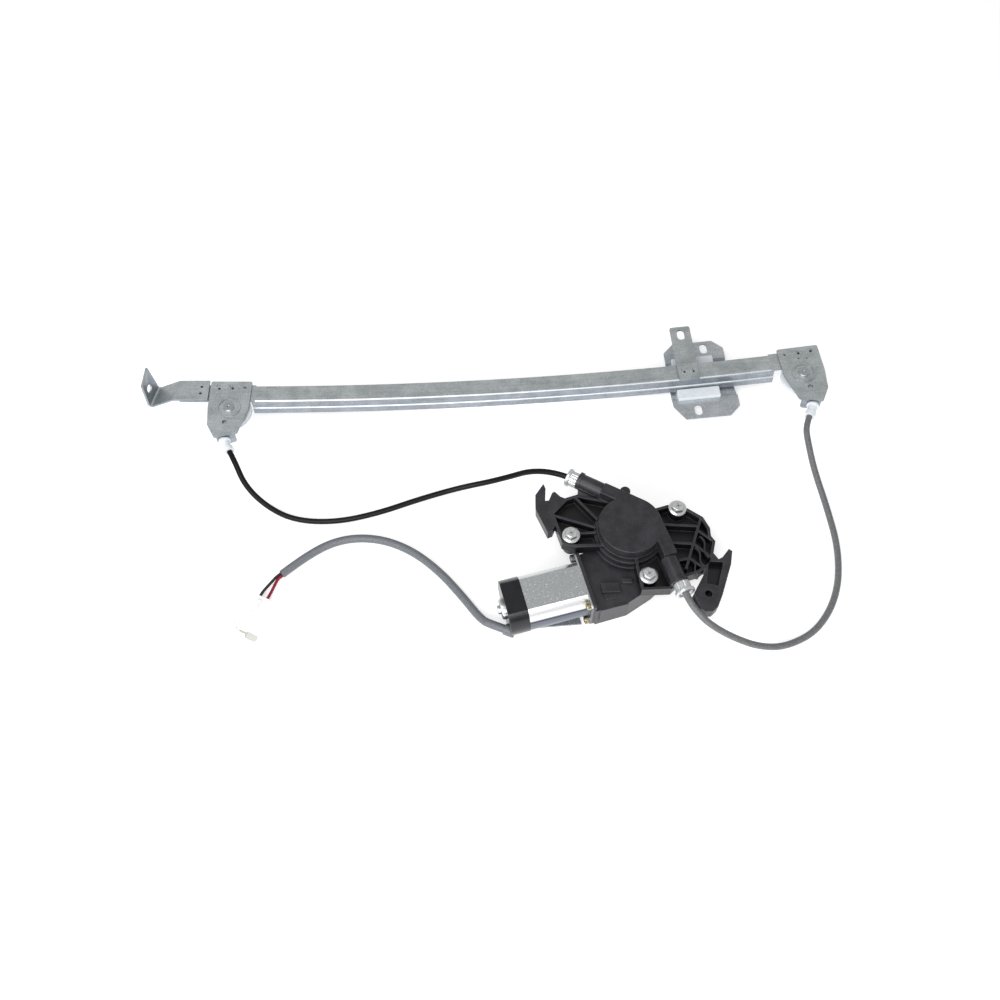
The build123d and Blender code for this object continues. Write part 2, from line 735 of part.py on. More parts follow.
def drum_housing():
    """The moulded bracket: a ring round the drum, open ribbed wings, two hooks and two cable tubes."""
    floor_top = housing_floor_z + housing_floor
    ring_radius = chamber_radius + housing_ring_wall
    body = post(ring_radius, gearbox_top_z, cover_bottom_z)
    bosses = [Pos(*p) * Circle(screw_boss_radius) for p in scaled(screw_place_shares, housing_reach)]
    for shares in (left_plate_shares, right_plate_shares):
        plate = outline(scaled(shares, housing_reach))
        tray = prism(plate, housing_floor_z, housing_rib_top_z)
        inner = offset(plate, amount=-housing_wall, kind=Kind.INTERSECTION)
        body += tray - prism(inner, floor_top, housing_rib_top_z + overrun)
    for shares in left_rib_shares + right_rib_shares:
        body += prism(rib(shares, housing_rib), floor_top - overrun, housing_rib_top_z - housing_rib / 4)
    for shares in (left_hook_shares, right_hook_shares):
        body += prism(outline(scaled(shares, housing_reach)), housing_floor_z, housing_rib_top_z)
    for boss in bosses:
        body += prism(boss, gearbox_top_z, housing_rib_top_z)
    for index in (0, 1):
        reach = arm_length + tube_length
        saddle = arm_shape(index, arm_width, reach)
        body += prism(saddle, housing_floor_z, cover_bottom_z - tube_radius / 2)
        body += prism(arm_shape(index, arm_width, arm_length), housing_floor_z, cover_bottom_z)
        start = arm_length + slide_gap
        body += along_arm(index, start, Pos(0, tube_shift) * post(tube_radius, 0, tube_length - slide_gap))
        body += along_arm(index, reach, Pos(0, tube_shift) * post(tube_flange_radius, 0, tube_flange_length))
    reach = arm_length + tube_length + tube_flange_length
    body -= along_arm(1, reach, post(ferrule_flare_radius + slide_gap, 0, 2 * ferrule_length))
    pocket = outline(scaled(hook_pocket_shares, housing_reach))
    body -= prism(pocket, housing_floor_z - overrun, housing_rib_top_z + overrun)
    hole = scaled([hook_hole_shares], housing_reach)[0]
    body -= Pos(*hole) * post(hook_hole_radius, housing_floor_z - overrun, housing_rib_top_z + overrun)
    for place in scaled(screw_place_shares, housing_reach):
        body -= Pos(*place) * post(screw_radius, gearbox_top_z - overrun, housing_rib_top_z + overrun)
    body -= post(chamber_radius, pot_floor_z, cover_top_z)
    body -= post(shaft_radius + run_gap, gearbox_top_z - overrun, cover_top_z)
    body -= post(chamber_radius, gearbox_top_z - overrun, pot_floor_z - housing_floor)
    for index in (0, 1):
        body -= along_arm(index, 0, post(tube_bore_radius, 0, arm_length + tube_length + 2 * tube_flange_length))
    return at_drum(body)


def ferrule(index):
    """The grooved bell that ends a conduit, face to face with the housing's tube."""
    start = arm_length + tube_length + tube_flange_length
    bore = cable_radius + slide_gap
    throat = conduit_diameters[index] / 2 + slide_gap / 2
    slope = (ferrule_flare_radius - ferrule_radius) / (ferrule_length - ferrule_rim)
    pitch = (ferrule_length - ferrule_rim) / (ferrule_groove_count + 1)
    profile = [(bore, 0), (ferrule_radius, 0)]
    for groove in range(ferrule_groove_count):
        middle = pitch * (groove + 1)
        radius = ferrule_radius + slope * middle
        profile += [(radius, middle - pitch / 4), (radius - ferrule_groove, middle), (radius, middle + pitch / 4)]
    profile += [
        (ferrule_flare_radius, ferrule_length - ferrule_rim), (ferrule_flare_radius, ferrule_length),
        (ferrule_flare_radius - ferrule_wall, ferrule_length), (throat, 2 * ferrule_throat),
        (throat, ferrule_throat), (bore, ferrule_throat),
    ]
    return at_drum(along_arm(index, start, turned(profile)))


def ferrule_end(index):
    """Where a conduit ends in its ferrule, and the way it leads out."""
    place, along = arm_point(index, arm_length + tube_length + tube_flange_length + ferrule_throat)
    return Vector(drum_x, drum_y, 0) + place, along


def housing_cable():
    """The two straight runs of the inner cable, from the drum to the ferrules."""
    first = sqrt((drum_groove_radius + 2 * cable_radius + slide_gap) ** 2 - drum_groove_radius**2)
    last = arm_length + tube_length + tube_flange_length + ferrule_throat
    runs = [along_arm(i, first, post(cable_radius, 0, last - first)) for i in (0, 1)]
    return at_drum(runs[0] + runs[1])


def cable_drum():
    bore = shaft_radius
    core = drum_groove_radius - cable_radius - run_gap
    low = cable_z - winding_count * winding_pitch / 2
    high = cable_z + winding_count * winding_pitch / 2
    profile = [
        (bore, drum_bottom_z), (drum_flange_radius, drum_bottom_z), (drum_flange_radius, low), (core, low),
        (core, high), (drum_flange_radius, high), (drum_flange_radius, drum_top_z), (bore, drum_top_z),
    ]
    return at_drum(turned(profile))


def drum_winding():
    """The turns of cable on the drum."""
    ring = None
    for turn in range(winding_count):
        height = cable_z + (turn + 0.5 - winding_count / 2) * winding_pitch
        coil = revolve(Plane.XZ * Pos(drum_groove_radius, height) * Circle(cable_radius), axis=Axis.Z)
        ring = coil if ring is None else ring + coil
    return at_drum(ring)


# Worm gear

def tooth_half_angle(radius, wheel_radius):
    """Half a tooth's angle at a radius of the wheel, on an involute flank."""
    def involute(angle):
        return tan(angle) - angle

    pressure = radians(pressure_angle)
    base = wheel_radius * cos(pressure)
    there = acos(base / radius) if radius > base else 0
    thickness = pi * gear_module / 2 - backlash
    return thickness / (2 * wheel_radius) + involute(pressure) - involute(there)


def worm_wheel():
    radius = gear_module * wheel_teeth / 2
    root = radius - dedendum_share * gear_module
    tip = radius + addendum_share * gear_module
    flank = [root, (root + radius) / 2, (radius + tip) / 2, tip]
    points = []
    for tooth in range(wheel_teeth):
        middle = 2 * pi * tooth / wheel_teeth
        angles = [-tooth_half_angle(r, radius) for r in flank] + [tooth_half_angle(r, radius) for r in flank[::-1]]
        for r, turn in zip(flank + flank[::-1], angles):
            points.append((r * cos(middle + turn), r * sin(middle + turn)))
    face = outline(points)
    lead = gear_module / (2 * worm_pitch_radius)
    twist = degrees(wheel_width * lead / radius)
    low = Pos(0, 0, motor_z - wheel_width / 2) * Rot(0, 0, wheel_phase() - twist / 2) * face
    high = Pos(0, 0, motor_z + wheel_width / 2) * Rot(0, 0, wheel_phase() + twist / 2) * face
    gear = loft([low, high], ruled=True)
    bottom = gearbox_bottom_z + bush_length + slide_gap
    top = gearbox_top_z - gearbox_roof - slide_gap
    gear += post(wheel_hub_radius, bottom, top)
    ring = post(root - boss_wall, 0, boss_wall) - post(wheel_hub_radius + boss_wall, 0, boss_wall)
    gear -= Pos(0, 0, motor_z + wheel_width / 2 - boss_wall + slide_gap) * ring
    gear -= Pos(0, 0, motor_z - wheel_width / 2 - slide_gap) * ring
    return at_drum(gear - post(shaft_radius, 0, cover_top_z))


def wheel_phase():
    """The turn that puts a gap between teeth on the line from the wheel's centre to the worm."""
    to_worm = motor_angle - 90
    pitch = 360 / wheel_teeth
    return to_worm + pitch / 2


def centre_distance():
    return gear_module * wheel_teeth / 2 + worm_pitch_radius


def motor_frame():
    """The plane square to the motor's shaft where the worm meets the wheel: Z along the shaft, X level across it."""
    turn = radians(motor_angle)
    across = Vector(-sin(turn), cos(turn), 0)
    place = Vector(drum_x, drum_y, motor_z) - across * centre_distance()
    return Plane(origin=place, x_dir=across, z_dir=(cos(turn), sin(turn), 0))


def at_motor(shape):
    return motor_frame() * shape


def worm_shaft():
    root = worm_pitch_radius - (dedendum_share + 0.05) * gear_module
    tip = worm_pitch_radius + addendum_share * gear_module
    lead = pi * gear_module
    half = (lead / 2 - backlash) / 2
    slope = tan(radians(pressure_angle))
    base = root - backlash
    section = outline([
        (base, half + (worm_pitch_radius - base) * slope), (tip, half - (tip - worm_pitch_radius) * slope),
        (tip, -half + (tip - worm_pitch_radius) * slope), (base, -half - (worm_pitch_radius - base) * slope),
    ])
    turns = round(worm_length / lead / 2)
    path = Helix(pitch=lead, height=2 * turns * lead, radius=worm_pitch_radius)
    thread = Pos(0, 0, -turns * lead) * sweep(Plane.XZ * section, path=path, is_frenet=True)
    core = post(root, -worm_tunnel_end + slide_gap, worm_tunnel_end - slide_gap)
    start = -(can_start + can_length + band_length - band_wall - seat_gap)
    shaft = post(armature_shaft_radius, start, worm_tunnel_end + bush_length)
    return at_motor(core + thread + shaft)


# Gearbox

def gearbox_shape():
    """The gearbox's outline, in the motor's own directions about the drum's centre."""
    turn = motor_angle
    body = outline(scaled(gearbox_outline_shares, gearbox_body_radius))
    return Circle(gearbox_body_radius) + Rot(0, 0, turn) * Pos(0, -centre_distance()) * body


def motor_flange():
    return RectangleRounded(2 * motor_flange_half, 2 * can_flat, motor_flange_corner)


def can_screw_places():
    return [Pos(i * can_screw_across, j * can_screw_up) for i in (-1, 1) for j in (-1, 1)]


def gearbox_housing():
    body = prism(gearbox_shape(), gearbox_bottom_z, gearbox_top_z)
    for place in scaled(screw_place_shares, housing_reach):
        reach = hypot(*place)
        lug = bar((0, 0), place, gearbox_lug_width) + Pos(*place) * Circle(gearbox_lug_width / 2)
        body += prism(lug, gearbox_top_z - gearbox_lug_height, gearbox_top_z)
    roof = gearbox_top_z - gearbox_roof
    body -= post(gearbox_body_radius - gearbox_wall, gearbox_bottom_z - overrun, roof)
    body -= post(shaft_radius + run_gap, 0, cover_top_z)
    for place in scaled(screw_place_shares, housing_reach):
        body -= Pos(*place) * post(screw_radius, gearbox_top_z - screw_length, gearbox_top_z + overrun)
    body = at_drum(body)
    flange_inner = can_start - flange_sheet
    body += at_motor(prism(motor_flange(), -can_start, -flange_inner))
    pad = RectangleRounded(gearbox_body_radius / 2, gearbox_body_radius / 2, rail_bend / 2)
    body += Pos(drum_x, drum_y) * Rot(0, 0, motor_angle) * Pos(-gearbox_body_radius, -centre_distance() - gearbox_body_radius * 0.45) * prism(
        pad, gearbox_top_z - overrun, gearbox_top_z + pad_height
    )
    side_pad = Rectangle(gearbox_body_radius * 0.85, gearbox_body_radius * 0.8)
    wall = Plane(
        origin=motor_frame().from_local_coords(Vector(-gearbox_body_radius * 0.94, 0, -gearbox_body_radius * 1.1)),
        x_dir=motor_frame().z_dir, z_dir=-motor_frame().x_dir,
    )
    body += wall * extrude(side_pad, amount=pad_height)
    body -= at_motor(post(worm_tunnel_radius, -worm_tunnel_end, worm_tunnel_end))
    seat = armature_shaft_radius + bush_wall
    body -= at_motor(post(seat, -worm_tunnel_end - bush_length, worm_tunnel_end + bush_length))
    body -= at_motor(post(armature_shaft_radius + slide_gap, -can_start - overrun, 0))
    for place in can_screw_places():
        body -= at_motor(place * post(can_screw_radius, -can_start - overrun, -flange_inner + overrun))
    return body


def worm_bushes():
    ring = Circle(armature_shaft_radius + bush_wall) - Circle(armature_shaft_radius + run_gap)
    low = prism(ring, -worm_tunnel_end - bush_length, -worm_tunnel_end)
    high = prism(ring, worm_tunnel_end, worm_tunnel_end + bush_length)
    return at_motor(low + high)


def gearbox_cover():
    """The lid under the gearbox, with the lower bearing of the drum's shaft."""
    plate = prism(gearbox_shape(), 0, gearbox_bottom_z)
    plate = chamfer(plate.faces().sort_by(Axis.Z)[0].edges(), seat_gap * 20)
    plate += post(shaft_radius + boss_wall, gearbox_bottom_z, gearbox_bottom_z + bush_length)
    plate -= post(shaft_radius + run_gap, gearbox_bottom_z / 2, gearbox_top_z)
    foot = Rectangle(4 * motor_flange_half, 2 * can_flat + 2 * overrun)
    return at_drum(plate) - at_motor(prism(foot, -2 * can_start, -can_start + flange_sheet + seat_gap))


def drum_shaft():
    body = post(shaft_radius, gearbox_bottom_z / 2 + run_gap, cover_top_z - cover_wall - run_gap)
    return at_drum(chamfer(body.edges().group_by(Axis.Z)[-1], shaft_radius / 5))


# Motor

def flat_sided(radius, flat):
    return Circle(radius) & Rectangle(2 * radius, 2 * flat)


def motor_can():
    outer = prism(flat_sided(can_radius, can_flat), -can_start - can_length, -can_start)
    hollow = flat_sided(can_radius - can_wall, can_flat - can_wall)
    body = outer - prism(hollow, -can_start - can_length - overrun, -can_start + overrun)
    rim = motor_flange() - hollow
    for place in can_screw_places():
        rim -= place * Circle(can_screw_radius)
    body += prism(rim, -can_start - can_flange, -can_start)
    far = -can_start - can_length
    near = -can_start - 2 * can_screw_head
    foot = outline([
        (-can_foot_inner, far), (-can_foot_start, far), (-can_foot_end, near), (-can_foot_inner, near),
    ])
    body += Pos(0, -can_flat + can_wall, 0) * extrude(Plane.XZ * foot, amount=can_wall)
    return at_motor(body)


def motor_end_band():
    """The black plastic brush cap over the can's end."""
    start = -can_start - can_length - band_length
    outer = prism(flat_sided(band_radius, band_flat), start, start + band_length)
    outer = fillet(outer.faces().sort_by(Axis.Z)[0].edges(), band_wall / 2)
    hollow = flat_sided(can_radius - can_wall, can_flat - can_wall)
    body = outer - prism(hollow, start + band_wall, start + band_length + overrun)
    body -= post(armature_shaft_radius + run_gap, start - overrun, start + 2 * band_wall)
    body = at_motor(body)
    return body - lead_grommet_body(overrun)


def motor_end_cap():
    """The pressed bearing cap on the end of the brush cap."""
    start = -can_start - can_length - band_length
    disc = post(end_cap_radius, start - end_cap_length, start)
    disc = fillet(disc.faces().sort_by(Axis.Z)[0].edges(), end_cap_length / 2)
    nub = post(end_nub_radius, start - end_cap_length - end_nub_length, start - end_cap_length)
    return at_motor(disc + fillet(nub.faces().sort_by(Axis.Z)[0].edges(), end_nub_length / 3))


def lead_start():
    """Where the lead leaves its grommet, and the way it leads out."""
    start = -can_start - can_length - band_length
    frame = motor_frame()
    face = frame.from_local_coords(Vector(lead_exit_across, lead_exit_z - motor_z, start))
    heading = -frame.z_dir
    turn = radians(-lead_exit_turn)
    out = Vector(
        heading.X * cos(turn) - heading.Y * sin(turn), heading.X * sin(turn) + heading.Y * cos(turn), 0
    )
    return face + out * grommet_length, out


def lead_grommet_body(extra):
    place, out = lead_start()
    back = 2 * grommet_length
    return Plane(origin=place - out * back, z_dir=out) * post(grommet_radius, -extra, back)


def lead_grommet():
    start = -can_start - can_length - band_length
    inside = at_motor(post(band_radius, start + band_wall, start + band_length))
    return lead_grommet_body(0) - inside


def core_middle():
    return -can_start - can_length / 2 + can_wall


def armature_core():
    """The laminated core with its open winding slots."""
    shape = Circle(core_radius) - Circle(armature_shaft_radius)
    slot = Pos(-core_slot_depth / 2, 0) * Rectangle(core_slot_depth + overrun, core_slot_width)
    shape -= PolarLocations(core_radius, core_slots) * slot
    middle = core_middle()
    return at_motor(prism(shape, middle - core_length / 2, middle + core_length / 2))


def armature_windings():
    """The coil heads that stand out at both ends of the core."""
    ring = Circle(coil_radius) - Circle(armature_shaft_radius)
    middle = core_middle()
    half = core_length / 2
    low = prism(ring, middle - half - coil_length, middle - half)
    high = prism(ring, middle + half, middle + half + coil_length)
    low = fillet(low.faces().sort_by(Axis.Z)[0].edges().sort_by(SortBy.LENGTH)[-1], coil_length / 2)
    high = fillet(high.faces().sort_by(Axis.Z)[-1].edges().sort_by(SortBy.LENGTH)[-1], coil_length / 2)
    return at_motor(low + high)


def commutator():
    end = core_middle() - core_length / 2 - coil_length
    ring = Circle(commutator_radius) - Circle(armature_shaft_radius)
    return at_motor(prism(ring, end - commutator_length, end))


def motor_magnets():
    inner = can_radius - can_wall
    ring = Circle(inner) - Circle(magnet_inner_radius)
    half = radians(magnet_span / 2)
    wedge = outline([
        (0, 0), (2 * inner * cos(half), 2 * inner * sin(half)), (2 * inner * cos(half), -2 * inner * sin(half)),
    ])
    magnet = (ring & wedge) & Rectangle(4 * inner, 2 * (can_flat - can_wall - slide_gap))
    middle = core_middle()
    one = prism(magnet, middle - magnet_length / 2, middle + magnet_length / 2)
    return at_motor(one + Rot(0, 0, 180) * one)


def brush_span():
    """The brushes' middle, along the shaft."""
    return core_middle() - core_length / 2 - coil_length - commutator_length / 2


def brush_holder():
    hollow = flat_sided(can_radius - can_wall, can_flat - can_wall)
    shape = hollow - Circle(commutator_radius + boss_wall)
    middle = brush_span() - brush_width / 2
    return at_motor(prism(shape, middle - brush_plate, middle))


def brushes():
    block = Box(brush_length, brush_width, brush_width, align=(Align.MIN, Align.CENTER, Align.CENTER))
    one = Pos(commutator_radius + slide_gap, 0, brush_span()) * block
    return at_motor(one + Rot(0, 0, 180) * one)


def can_screws():
    """Four screws that hold the can to the gearbox, driven from the can's side."""
    shank = post(can_screw_radius, -can_start - can_flange, -can_start + flange_sheet)
    base = -can_start - can_flange - can_screw_head
    head = post(can_screw_head_radius, base, -can_start - can_flange)
    head = fillet(head.edges().group_by(Axis.Z)[0], can_screw_head / 4)
    head -= Pos(0, 0, base) * Box(2 * can_screw_head_radius, cross_width, can_screw_head / 2)
    group = None
    for place in can_screw_places():
        one = place * (shank + head)
        group = one if group is None else group + one
    return at_motor(group)


def flange_screws():
    """Three hexagon screws with a pressed flange and a cross recess."""
    top = housing_rib_top_z
    screw = post(screw_radius, top - screw_length, top)
    screw += post(screw_flange_radius, top, top + screw_flange)
    screw += prism(RegularPolygon(screw_hex, 6), top + screw_flange, top + screw_flange + screw_hex_height)
    recess = Rectangle(cross_length, cross_width) + Rectangle(cross_width, cross_length)
    crown = top + screw_flange + screw_hex_height
    screw -= prism(recess, crown - cross_depth, crown + overrun)
    group = None
    for place in scaled(screw_place_shares, housing_reach):
        one = Pos(*place) * screw
        group = one if group is None else group + one
    return at_drum(group)


# Cords

def cord(points, diameter, name):
    """A tube along straight runs and tangent arcs, each as large as its two runs allow."""
    points = [Vector(*p) for p in points]
    radii = []
    for before, corner, after in zip(points, points[1:], points[2:]):
        turn = radians((corner - before).get_angle(after - corner))
        shorter = min((corner - before).length, (after - corner).length)
        radii.append(cord_bend_share * shorter / tan(turn / 2))
    path = FilletPolyline(*points, radius=radii)
    tube = sweep(Plane(origin=path @ 0, z_dir=path % 0) * Circle(diameter / 2), path=path)
    listed = ", ".join(f"{r:.0f}" for r in radii)
    print(f"{name}: {path.length:.0f} long, radii {listed}, volume {tube.volume:.0f}",
          f"against {pi * diameter * diameter / 4 * path.length:.0f}")
    return tube


def bush_point(side, run):
    """A place on the cable's straight run out of a bracket, at either end of the rail."""
    point = exit_point(run)
    if side == "left":
        return station(left_pulley_x, pulley_y()).from_local_coords(Vector(-point.X, point.Y, point.Z))
    return station(right_pulley_x, pulley_y()).from_local_coords(point)


def conduit(side, index, route, name):
    """A conduit from a bracket's bush, along its route, into the bell of an arm's ferrule."""
    end, along = ferrule_end(index)
    start = [bush_point(side, exit_length), bush_point(side, exit_length + bush_lead)]
    finish = [end + along * ferrule_leads[index], end]
    return cord(start + route + finish, conduit_diameters[index], name)


def black_conduit():
    return conduit("left", 0, black_route, "black_conduit")


def grey_conduit():
    return conduit("right", 1, grey_route, "grey_conduit")


def lead_sleeve():
    start, out = lead_start()
    points = [start, start + out * lead_lead] + lead_route + [sleeve_end]
    return cord(points, sleeve_diameter, "lead_sleeve")


def sleeve_heading():
    last = Vector(*sleeve_end) - Vector(*lead_route[-1])
    return last.normalized()


def wire_start(side, run):
    """A place on a wire's straight run out of the sleeve."""
    heading = sleeve_heading()
    across = Vector(heading.Y, -heading.X, 0)
    offset = side * (wire_diameter / 2 + seat_gap)
    return Vector(*sleeve_end) + across * offset + heading * (run + seat_gap)


def at_connector(shape):
    return Pos(*connector_place) * Rot(0, 0, connector_angle) * shape


def connector_back(side, run):
    """A place on a wire's straight run into the connector."""
    local = Vector(-connector_length / 2 - run, side * connector_pitch / 2, connector_height / 2)
    turn = radians(connector_angle)
    x = local.X * cos(turn) - local.Y * sin(turn)
    y = local.X * sin(turn) + local.Y * cos(turn)
    return Vector(*connector_place) + Vector(x, y, local.Z)


def wire(side, name):
    points = [wire_start(side, 0), wire_start(side, wire_lead)]
    points += [connector_back(-side, wire_lead), connector_back(-side, 0)]
    return cord(points, wire_diameter, name)


def black_wire():
    return wire(1, "black_wire")


def red_wire():
    return wire(-1, "red_wire")


def connector_housing():
    """A clear two-way plug with an open cavity for each terminal."""
    body = Box(connector_length, connector_width, connector_height, align=(Align.CENTER, Align.CENTER, Align.MIN))
    body = fillet(body.edges().filter_by(Axis.X), connector_height / 8)
    for side in (-1, 1):
        cavity = Box(connector_length, cavity_width, cavity_height)
        body -= Pos(sheet, side * connector_pitch / 2, connector_height / 2) * cavity
    latch = Box(connector_length / 2, connector_width / 4, sheet / 2, align=(Align.CENTER, Align.CENTER, Align.MIN))
    return at_connector(body + Pos(0, 0, connector_height) * latch)


def connector_terminals():
    both = None
    for side in (-1, 1):
        sleeve = Box(terminal_length, terminal_width, terminal_height) - Box(
            terminal_length + overrun, terminal_width - 2 * terminal_sheet, terminal_height - 2 * terminal_sheet
        )
        one = Pos(sheet / 2 + slide_gap, side * connector_pitch / 2, connector_height / 2) * sleeve
        one -= Pos(terminal_length / 2, side * connector_pitch / 2, connector_height) * Box(
            terminal_length, terminal_sheet, connector_height
        )
        both = one if both is None else both + one
    return at_connector(both)


def jumper_wire():
    return cord(jumper_route, wire_diameter, "jumper_wire")


def blade_terminal():
    """The crimped blade on the end of the short lead."""
    end, before = Vector(*jumper_route[-1]), Vector(*jumper_route[-2])
    out = (end - before).normalized()
    out = Vector(out.X, out.Y, 0).normalized()
    back = -blade_barrel_length / 2
    barrel = post(blade_barrel_radius, back, blade_barrel_length / 2)
    barrel -= post(wire_diameter / 2, back - overrun, 0)
    tongue = Box(blade_sheet, blade_width, blade_length - blade_barrel_length, align=(Align.CENTER, Align.CENTER, Align.MIN))
    tongue = chamfer(tongue.edges().filter_by(Axis.X).group_by(Axis.Z)[-1], blade_width / 4)
    body = barrel + Pos(0, 0, blade_barrel_length / 2 - blade_sheet) * tongue
    return Plane(origin=end, x_dir=(0, 0, 1), z_dir=out) * body


ends = ("left", "right")
nodes = {
    "guide_rail": guide_rail(),
    "foot_bracket": foot_bracket(),
    "rail_mount_strip": rail_mount_strip(),
    "rail_cable": rail_cable(),
    "carrier_plate": carrier_plate(),
    "carrier_slider": carrier_slider(),
    "cable_nipples": cable_nipples(),
    "drum_housing": drum_housing(),
    "drum_cover": drum_cover(),
    "cable_drum": cable_drum(),
    "drum_winding": drum_winding(),
    "drum_shaft": drum_shaft(),
    "worm_wheel": worm_wheel(),
    "worm_shaft": worm_shaft(),
    "worm_bushes": worm_bushes(),
    "housing_cable": housing_cable(),
    "upper_ferrule": ferrule(0),
    "lower_ferrule": ferrule(1),
    "flange_screws": flange_screws(),
    "gearbox_housing": gearbox_housing(),
    "gearbox_cover": gearbox_cover(),
    "motor_can": motor_can(),
    "motor_end_band": motor_end_band(),
    "motor_end_cap": motor_end_cap(),
    "motor_magnets": motor_magnets(),
    "armature_core": armature_core(),
    "armature_windings": armature_windings(),
    "commutator": commutator(),
    "brush_holder": brush_holder(),
    "brushes": brushes(),
    "can_screws": can_screws(),
    "lead_grommet": lead_grommet(),
    "black_conduit": black_conduit(),
    "grey_conduit": grey_conduit(),
    "lead_sleeve": lead_sleeve(),
    "black_wire": black_wire(),
    "red_wire": red_wire(),
    "connector_housing": connector_housing(),
    "connector_terminals": connector_terminals(),
    "jumper_wire": jumper_wire(),
    "blade_terminal": blade_terminal(),
}
for end in ends:
    nodes[f"{end}_pulley_bracket"] = at_end(pulley_bracket(), end)
    nodes[f"{end}_pulley"] = at_end(pulley(), end)
    nodes[f"{end}_pulley_pin"] = at_end(pulley_pin(), end)
    nodes[f"{end}_cable_bush"] = at_end(cable_bush(), end)

os.makedirs("parts", exist_ok=True)
for name, shape in nodes.items():
    export_step(shape, f"parts/{name}.step")
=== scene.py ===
import json
from math import asin, cos, pi, radians, sin

import bmesh
import bpy
from mathutils import Matrix, Vector

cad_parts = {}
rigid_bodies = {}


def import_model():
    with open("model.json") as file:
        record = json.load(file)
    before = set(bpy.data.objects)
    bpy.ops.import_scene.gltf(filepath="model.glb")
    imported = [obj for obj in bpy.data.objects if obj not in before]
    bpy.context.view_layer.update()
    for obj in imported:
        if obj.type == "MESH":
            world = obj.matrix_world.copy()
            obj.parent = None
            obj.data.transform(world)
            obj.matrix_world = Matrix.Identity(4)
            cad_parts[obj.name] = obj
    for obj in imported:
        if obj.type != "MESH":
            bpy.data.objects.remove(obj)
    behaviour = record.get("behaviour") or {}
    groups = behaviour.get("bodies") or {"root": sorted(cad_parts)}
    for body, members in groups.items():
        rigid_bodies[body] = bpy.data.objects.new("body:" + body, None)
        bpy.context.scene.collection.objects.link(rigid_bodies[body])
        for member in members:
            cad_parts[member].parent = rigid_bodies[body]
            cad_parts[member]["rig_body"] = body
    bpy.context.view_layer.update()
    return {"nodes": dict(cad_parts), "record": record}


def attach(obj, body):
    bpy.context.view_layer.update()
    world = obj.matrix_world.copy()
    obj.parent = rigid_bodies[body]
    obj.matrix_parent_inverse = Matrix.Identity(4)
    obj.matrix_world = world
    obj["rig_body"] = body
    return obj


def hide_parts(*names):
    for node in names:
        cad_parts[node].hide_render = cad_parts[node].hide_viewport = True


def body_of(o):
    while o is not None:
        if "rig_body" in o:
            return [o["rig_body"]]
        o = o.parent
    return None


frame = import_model()
MM = 0.001


# Camera

TARGET = Vector((7.0, -29.0, 20.0)) * MM
DISTANCE = 790 * MM
ELEVATION = radians(60)
ROLL = radians(3.5)
FOCAL_PIXELS = 850
PHOTO_PIXELS = 1000
SENSOR = 36.0


def add_camera():
    """Stand the camera where the photograph was taken from."""
    forward = Vector((0, cos(ELEVATION), -sin(ELEVATION)))
    right = Vector((1, 0, 0))
    up = right.cross(forward)
    side = right * cos(ROLL) - up * sin(ROLL)
    top = right * sin(ROLL) + up * cos(ROLL)
    data = bpy.data.cameras.new("camera")
    data.sensor_width = SENSOR
    data.lens = FOCAL_PIXELS / PHOTO_PIXELS * SENSOR
    data.clip_start = 0.01
    camera = bpy.data.objects.new("camera", data)
    bpy.context.collection.objects.link(camera)
    place = TARGET - forward * DISTANCE
    camera.matrix_world = Matrix((
        (side.x, top.x, -forward.x, place.x), (side.y, top.y, -forward.y, place.y),
        (side.z, top.z, -forward.z, place.z), (0, 0, 0, 1),
    ))
    bpy.context.scene.camera = camera
    return camera


camera = add_camera()


# Cords, in millimetres: the points are those of the model's own routes

CORDS = {
    "black_conduit": dict(
        width=5.4, length=382, far_end="object", stiffness="medium", slot="conduit_black",
        points=[
            (-249.9, 39.0, 27.2), (-244.1, 27.9, 26.6), (-235.5, 7.0, 15.0), (-216.0, -12.0, 6.0),
            (-189.0, -27.5, 3.0), (-151.0, -32.5, 3.0), (-111.0, -26.0, 3.0), (-69.0, -12.5, 3.0),
            (-30.0, -3.5, 4.5), (4.0, -4.0, 14.0), (49.8, -13.0, 48.0), (76.0, -29.5, 48.0),
        ],
    ),
    "grey_conduit": dict(
        width=5.8, length=375, far_end="object", stiffness="medium", slot="conduit_grey",
        points=[
            (309.2, 39.0, 26.7), (303.4, 27.9, 26.1), (303.0, 15.0, 22.5), (305.5, -13.0, 12.5),
            (311.0, -49.0, 4.5), (311.5, -93.0, 3.2), (300.0, -136.0, 3.2), (275.0, -168.5, 3.2),
            (244.0, -182.0, 4.5), (218.0, -183.5, 13.0), (193.0, -178.5, 27.5), (173.8, -170.8, 39.5),
            (163.8, -161.5, 45.5), (157.9, -150.9, 48.0), (154.7, -138.3, 48.0),
        ],
    ),
    "lead_sleeve": dict(
        width=7.6, length=250, far_end="bare", stiffness="limp", slot="sleeve_grey",
        points=[
            (4.2, -151.9, 8.5), (-6.7, -147.0, 8.5), (-16.0, -140.5, 5.0), (-32.0, -116.5, 4.0),
            (-52.5, -90.0, 4.0), (-78.0, -67.0, 4.0), (-108.0, -53.0, 4.0), (-141.0, -51.0, 4.0),
            (-171.0, -63.5, 4.0), (-196.0, -84.0, 4.0),
        ],
    ),
}


